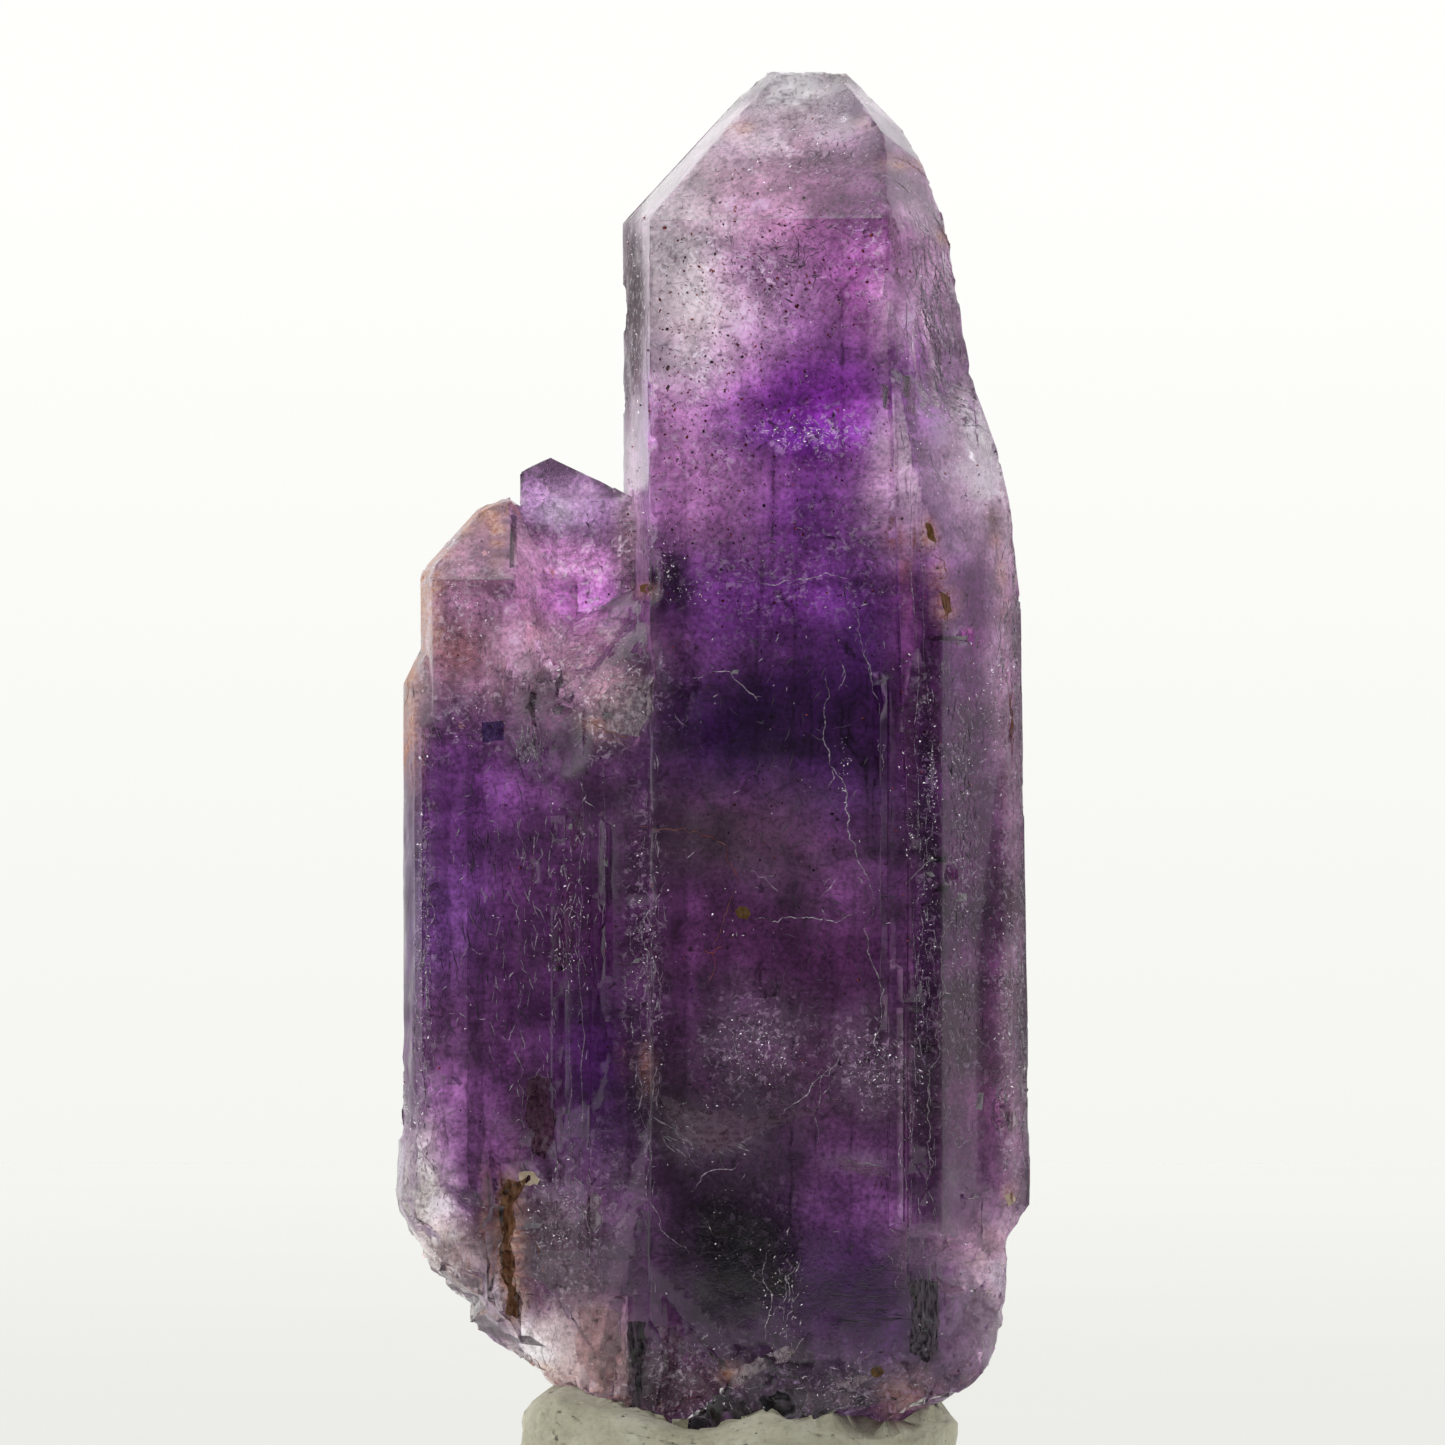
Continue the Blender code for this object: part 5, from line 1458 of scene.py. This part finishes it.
# Specks of haematite: count, and the deepest they lie in mm
SPECKS = [
    (730, 300, 90, 150, 760, 2.5), (800, 260, 90, 110, 400, 2.0), (690, 420, 50, 80, 260, 1.5),
    (780, 480, 120, 120, 380, 2.0), (636, 420, 12, 200, 80, 0.8), (780, 640, 120, 120, 200, 1.5),
    (780, 850, 140, 160, 200, 1.2), (640, 560, 24, 50, 40, 0.6), (960, 560, 50, 160, 140, 1.2),
    (960, 880, 50, 260, 120, 0.8), (480, 640, 60, 120, 60, 1.2), (700, 1000, 240, 300, 120, 1.0),
]
# The larger specks: place in photo pixels and radius in mm
LARGE_SPECKS = [
    (668, 370, 0.19), (668, 389, 0.17), (806, 279, 0.15), (690, 520, 0.13), (735, 214, 0.12),
    (720, 205, 0.09), (870, 240, 0.14), (848, 262, 0.1), (760, 362, 0.09), (716, 338, 0.1),
    (826, 214, 0.08), (753, 560, 0.08), (673, 648, 0.11), (771, 658, 0.12), (727, 761, 0.13),
    (652, 884, 0.12), (605, 950, 0.12), (684, 957, 0.1), (764, 842, 0.08), (707, 574, 0.08),
    (658, 601, 0.12), (663, 580, 0.14), (644, 552, 0.16), (1008, 742, 0.08), (798, 906, 0.08),
    (745, 912, 0.14), (876, 415, 0.1), (700, 452, 0.08), (640, 600, 0.1), (800, 168, 0.06),
]
SPECK_RADII = (0.03, 0.11)
HIDDEN_SPECK_RADII = (0.025, 0.1)
HIDDEN_SPECKS = 500
SPECK_DEPTH = 0.03
SPECK_SPREAD = 1.2
RED_SHARE = 0.65
SPECK_LOOKS = {
    "dark": ((30, 12, 20), (66, 22, 30), 0.4),
    "red": ((136, 26, 22), (196, 62, 46), 0.4),
}


def add_specks(body):
    """Specks of haematite in the quartz, dark ones and red ones."""
    piles = {name: Pile(seed) for seed, name in enumerate(SPECK_LOOKS, 71)}
    chooser = Random(73)

    def drop(place, radius):
        if place is None:
            return
        pile = piles["red" if chooser.random() < RED_SHARE else "dark"]
        pile.flake(place, pile.any_way(), radius, radius * 0.7, 6, pile.random.uniform(0.6, 1.0), 0.25)

    for px, py, half_px, half_py, count, deepest in SPECKS:
        for _ in range(count):
            spot = in_spot(chooser, px, py, half_px * SPECK_SPREAD, half_py * SPECK_SPREAD)
            place, _ = body.front(*spot, SPECK_DEPTH + chooser.random() ** 4 * deepest)
            drop(place, between(*SPECK_RADII, chooser.random() ** 1.7))
    for px, py, radius in LARGE_SPECKS:
        drop(body.front(px, py, SPECK_DEPTH)[0], radius * 0.85)
    for _ in range(HIDDEN_SPECKS):
        angle, z = chooser.uniform(*HIDDEN_SIDES), chooser.uniform(20, 70)
        place, _ = body.around(angle, z, SPECK_DEPTH + chooser.random() ** 4 * 2)
        drop(place, between(*HIDDEN_SPECK_RADII, chooser.random() ** 1.7))
    for name, looks in SPECK_LOOKS.items():
        piles[name].build(name + "_specks", name + "_haematite", *looks)


# The putty

# How far the putty's skin reaches for the crystal, and how near it comes, in mm
PUTTY_REACH = 0.75
PUTTY_NEAR = 0.02


def build_putty(crystal):
    """The putty lump with a lumpy, finger-pressed skin, pushed close against the crystal."""
    bm = gridded("mounting_putty", PUTTY_GRID)
    mark_sharp(bm, PUTTY_SHARP_ANGLE)
    mesh = mesh_of(bm, "putty")
    points = points_of(mesh)
    normals = normals_of(mesh)
    lumps = 0.16 + 0.12 * rough_noise(points, 2.6, 131, 4) + 0.05 * rough_noise(points, 0.9, 141, 3)
    standing = np.clip(points[:, 2] / 0.6, 0, 1)
    moved = points - normals * (np.clip(lumps, 0, None) * standing)[:, None]
    tree = BVHTree.FromObject(crystal, bpy.context.evaluated_depsgraph_get())
    for number, point in enumerate(moved):
        near, normal, _, distance = tree.find_nearest(Vector(point) * MM, PUTTY_REACH * MM)
        if near is not None and distance > PUTTY_NEAR * MM:
            moved[number] = (near + normal * (PUTTY_NEAR * MM)) / MM
    set_points(mesh, moved, "mounting_putty")
    putty = add_object("putty", mesh, putty_material())
    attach(putty, "root")
    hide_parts("mounting_putty")


# The studio

# Where most of the light comes from, its least and most strength, and what is added from above
LIGHT_SIDE = (-0.3, 0.95, 0)
SIDE_LIGHT = (0.04, 1.05)
TOP_LIGHT = (0.0, 0.55)

# Lengths in m, but the sensor in mm
CAMERA_DISTANCE = 0.9
SENSOR = 36.0
FLOOR_RADIUS = 0.45
FLOOR_BACK = 0.28
BOUNCES = {"max": 16, "transmission": 16, "glossy": 8, "diffuse": 3}


def build_camera():
    """A long lens, level with the middle of the photograph."""
    camera = bpy.data.objects.new("camera", bpy.data.cameras.new("camera"))
    bpy.context.scene.collection.objects.link(camera)
    x, z = photo_xz(PHOTO_SIZE / 2, PHOTO_SIZE / 2)
    camera.location = (x * MM, -CAMERA_DISTANCE, z * MM)
    camera.rotation_euler = (pi / 2, 0, 0)
    width = PHOTO_SIZE / PIXELS_PER_MM * MM
    camera.data.sensor_width = SENSOR
    camera.data.lens = SENSOR * CAMERA_DISTANCE / width
    camera.data.clip_start = 0.01
    camera.data.clip_end = 100
    bpy.context.scene.camera = camera


def build_floor():
    bm = bmesh.new()
    bmesh.ops.create_circle(bm, cap_ends=True, segments=128, radius=FLOOR_RADIUS)
    bmesh.ops.translate(bm, verts=bm.verts[:], vec=(0, FLOOR_BACK, 0))
    floor = add_object("floor", mesh_of(bm, "floor"), floor_material())


def build_world():
    """Soft white light from behind, above and both sides, and little from in front."""
    world = bpy.data.worlds.new("studio")
    bpy.context.scene.world = world
    world.use_nodes = True
    world.node_tree.nodes.clear()
    n = Nodes(world.node_tree)
    direction = n.add("ShaderNodeTexCoord").outputs["Generated"]
    up = n.fill_in_turn(n.add("ShaderNodeSeparateXYZ"), direction)["Z"]
    slanted = n.vector("DOT_PRODUCT", direction, LIGHT_SIDE, output="Value")
    strength = n.plus(n.ramp(slanted, -0.68, 0.35, *SIDE_LIGHT), n.ramp(up, 0.0, 0.9, *TOP_LIGHT))
    lit = n.fill(n.add("ShaderNodeBackground"), Strength=strength, Color=(1.0, 1.0, 0.99))[0]
    climb = n.ramp(up, -0.026, 0.03, kind="LINEAR")
    shade = n.mix(climb, linear((244, 245, 240)), linear((255, 255, 252)))
    seen = n.fill(n.add("ShaderNodeBackground"), Color=shade)[0]
    camera_ray = n.add("ShaderNodeLightPath").outputs["Is Camera Ray"]
    both = n.fill_in_turn(n.add("ShaderNodeMixShader"), camera_ray, lit, seen)[0]
    n.fill(n.add("ShaderNodeOutputWorld"), Surface=both)


def main():
    scene = bpy.context.scene
    scene.view_settings.view_transform = "Standard"
    for name, count in BOUNCES.items():
        setattr(scene.cycles, name + "_bounces", count)
    build_camera()
    build_floor()
    build_world()
    crystal, body = build_crystal()
    add_veins(body)
    add_plates(body)
    add_patches(body)
    add_glints(body)
    add_specks(body)
    build_putty(crystal)


main()
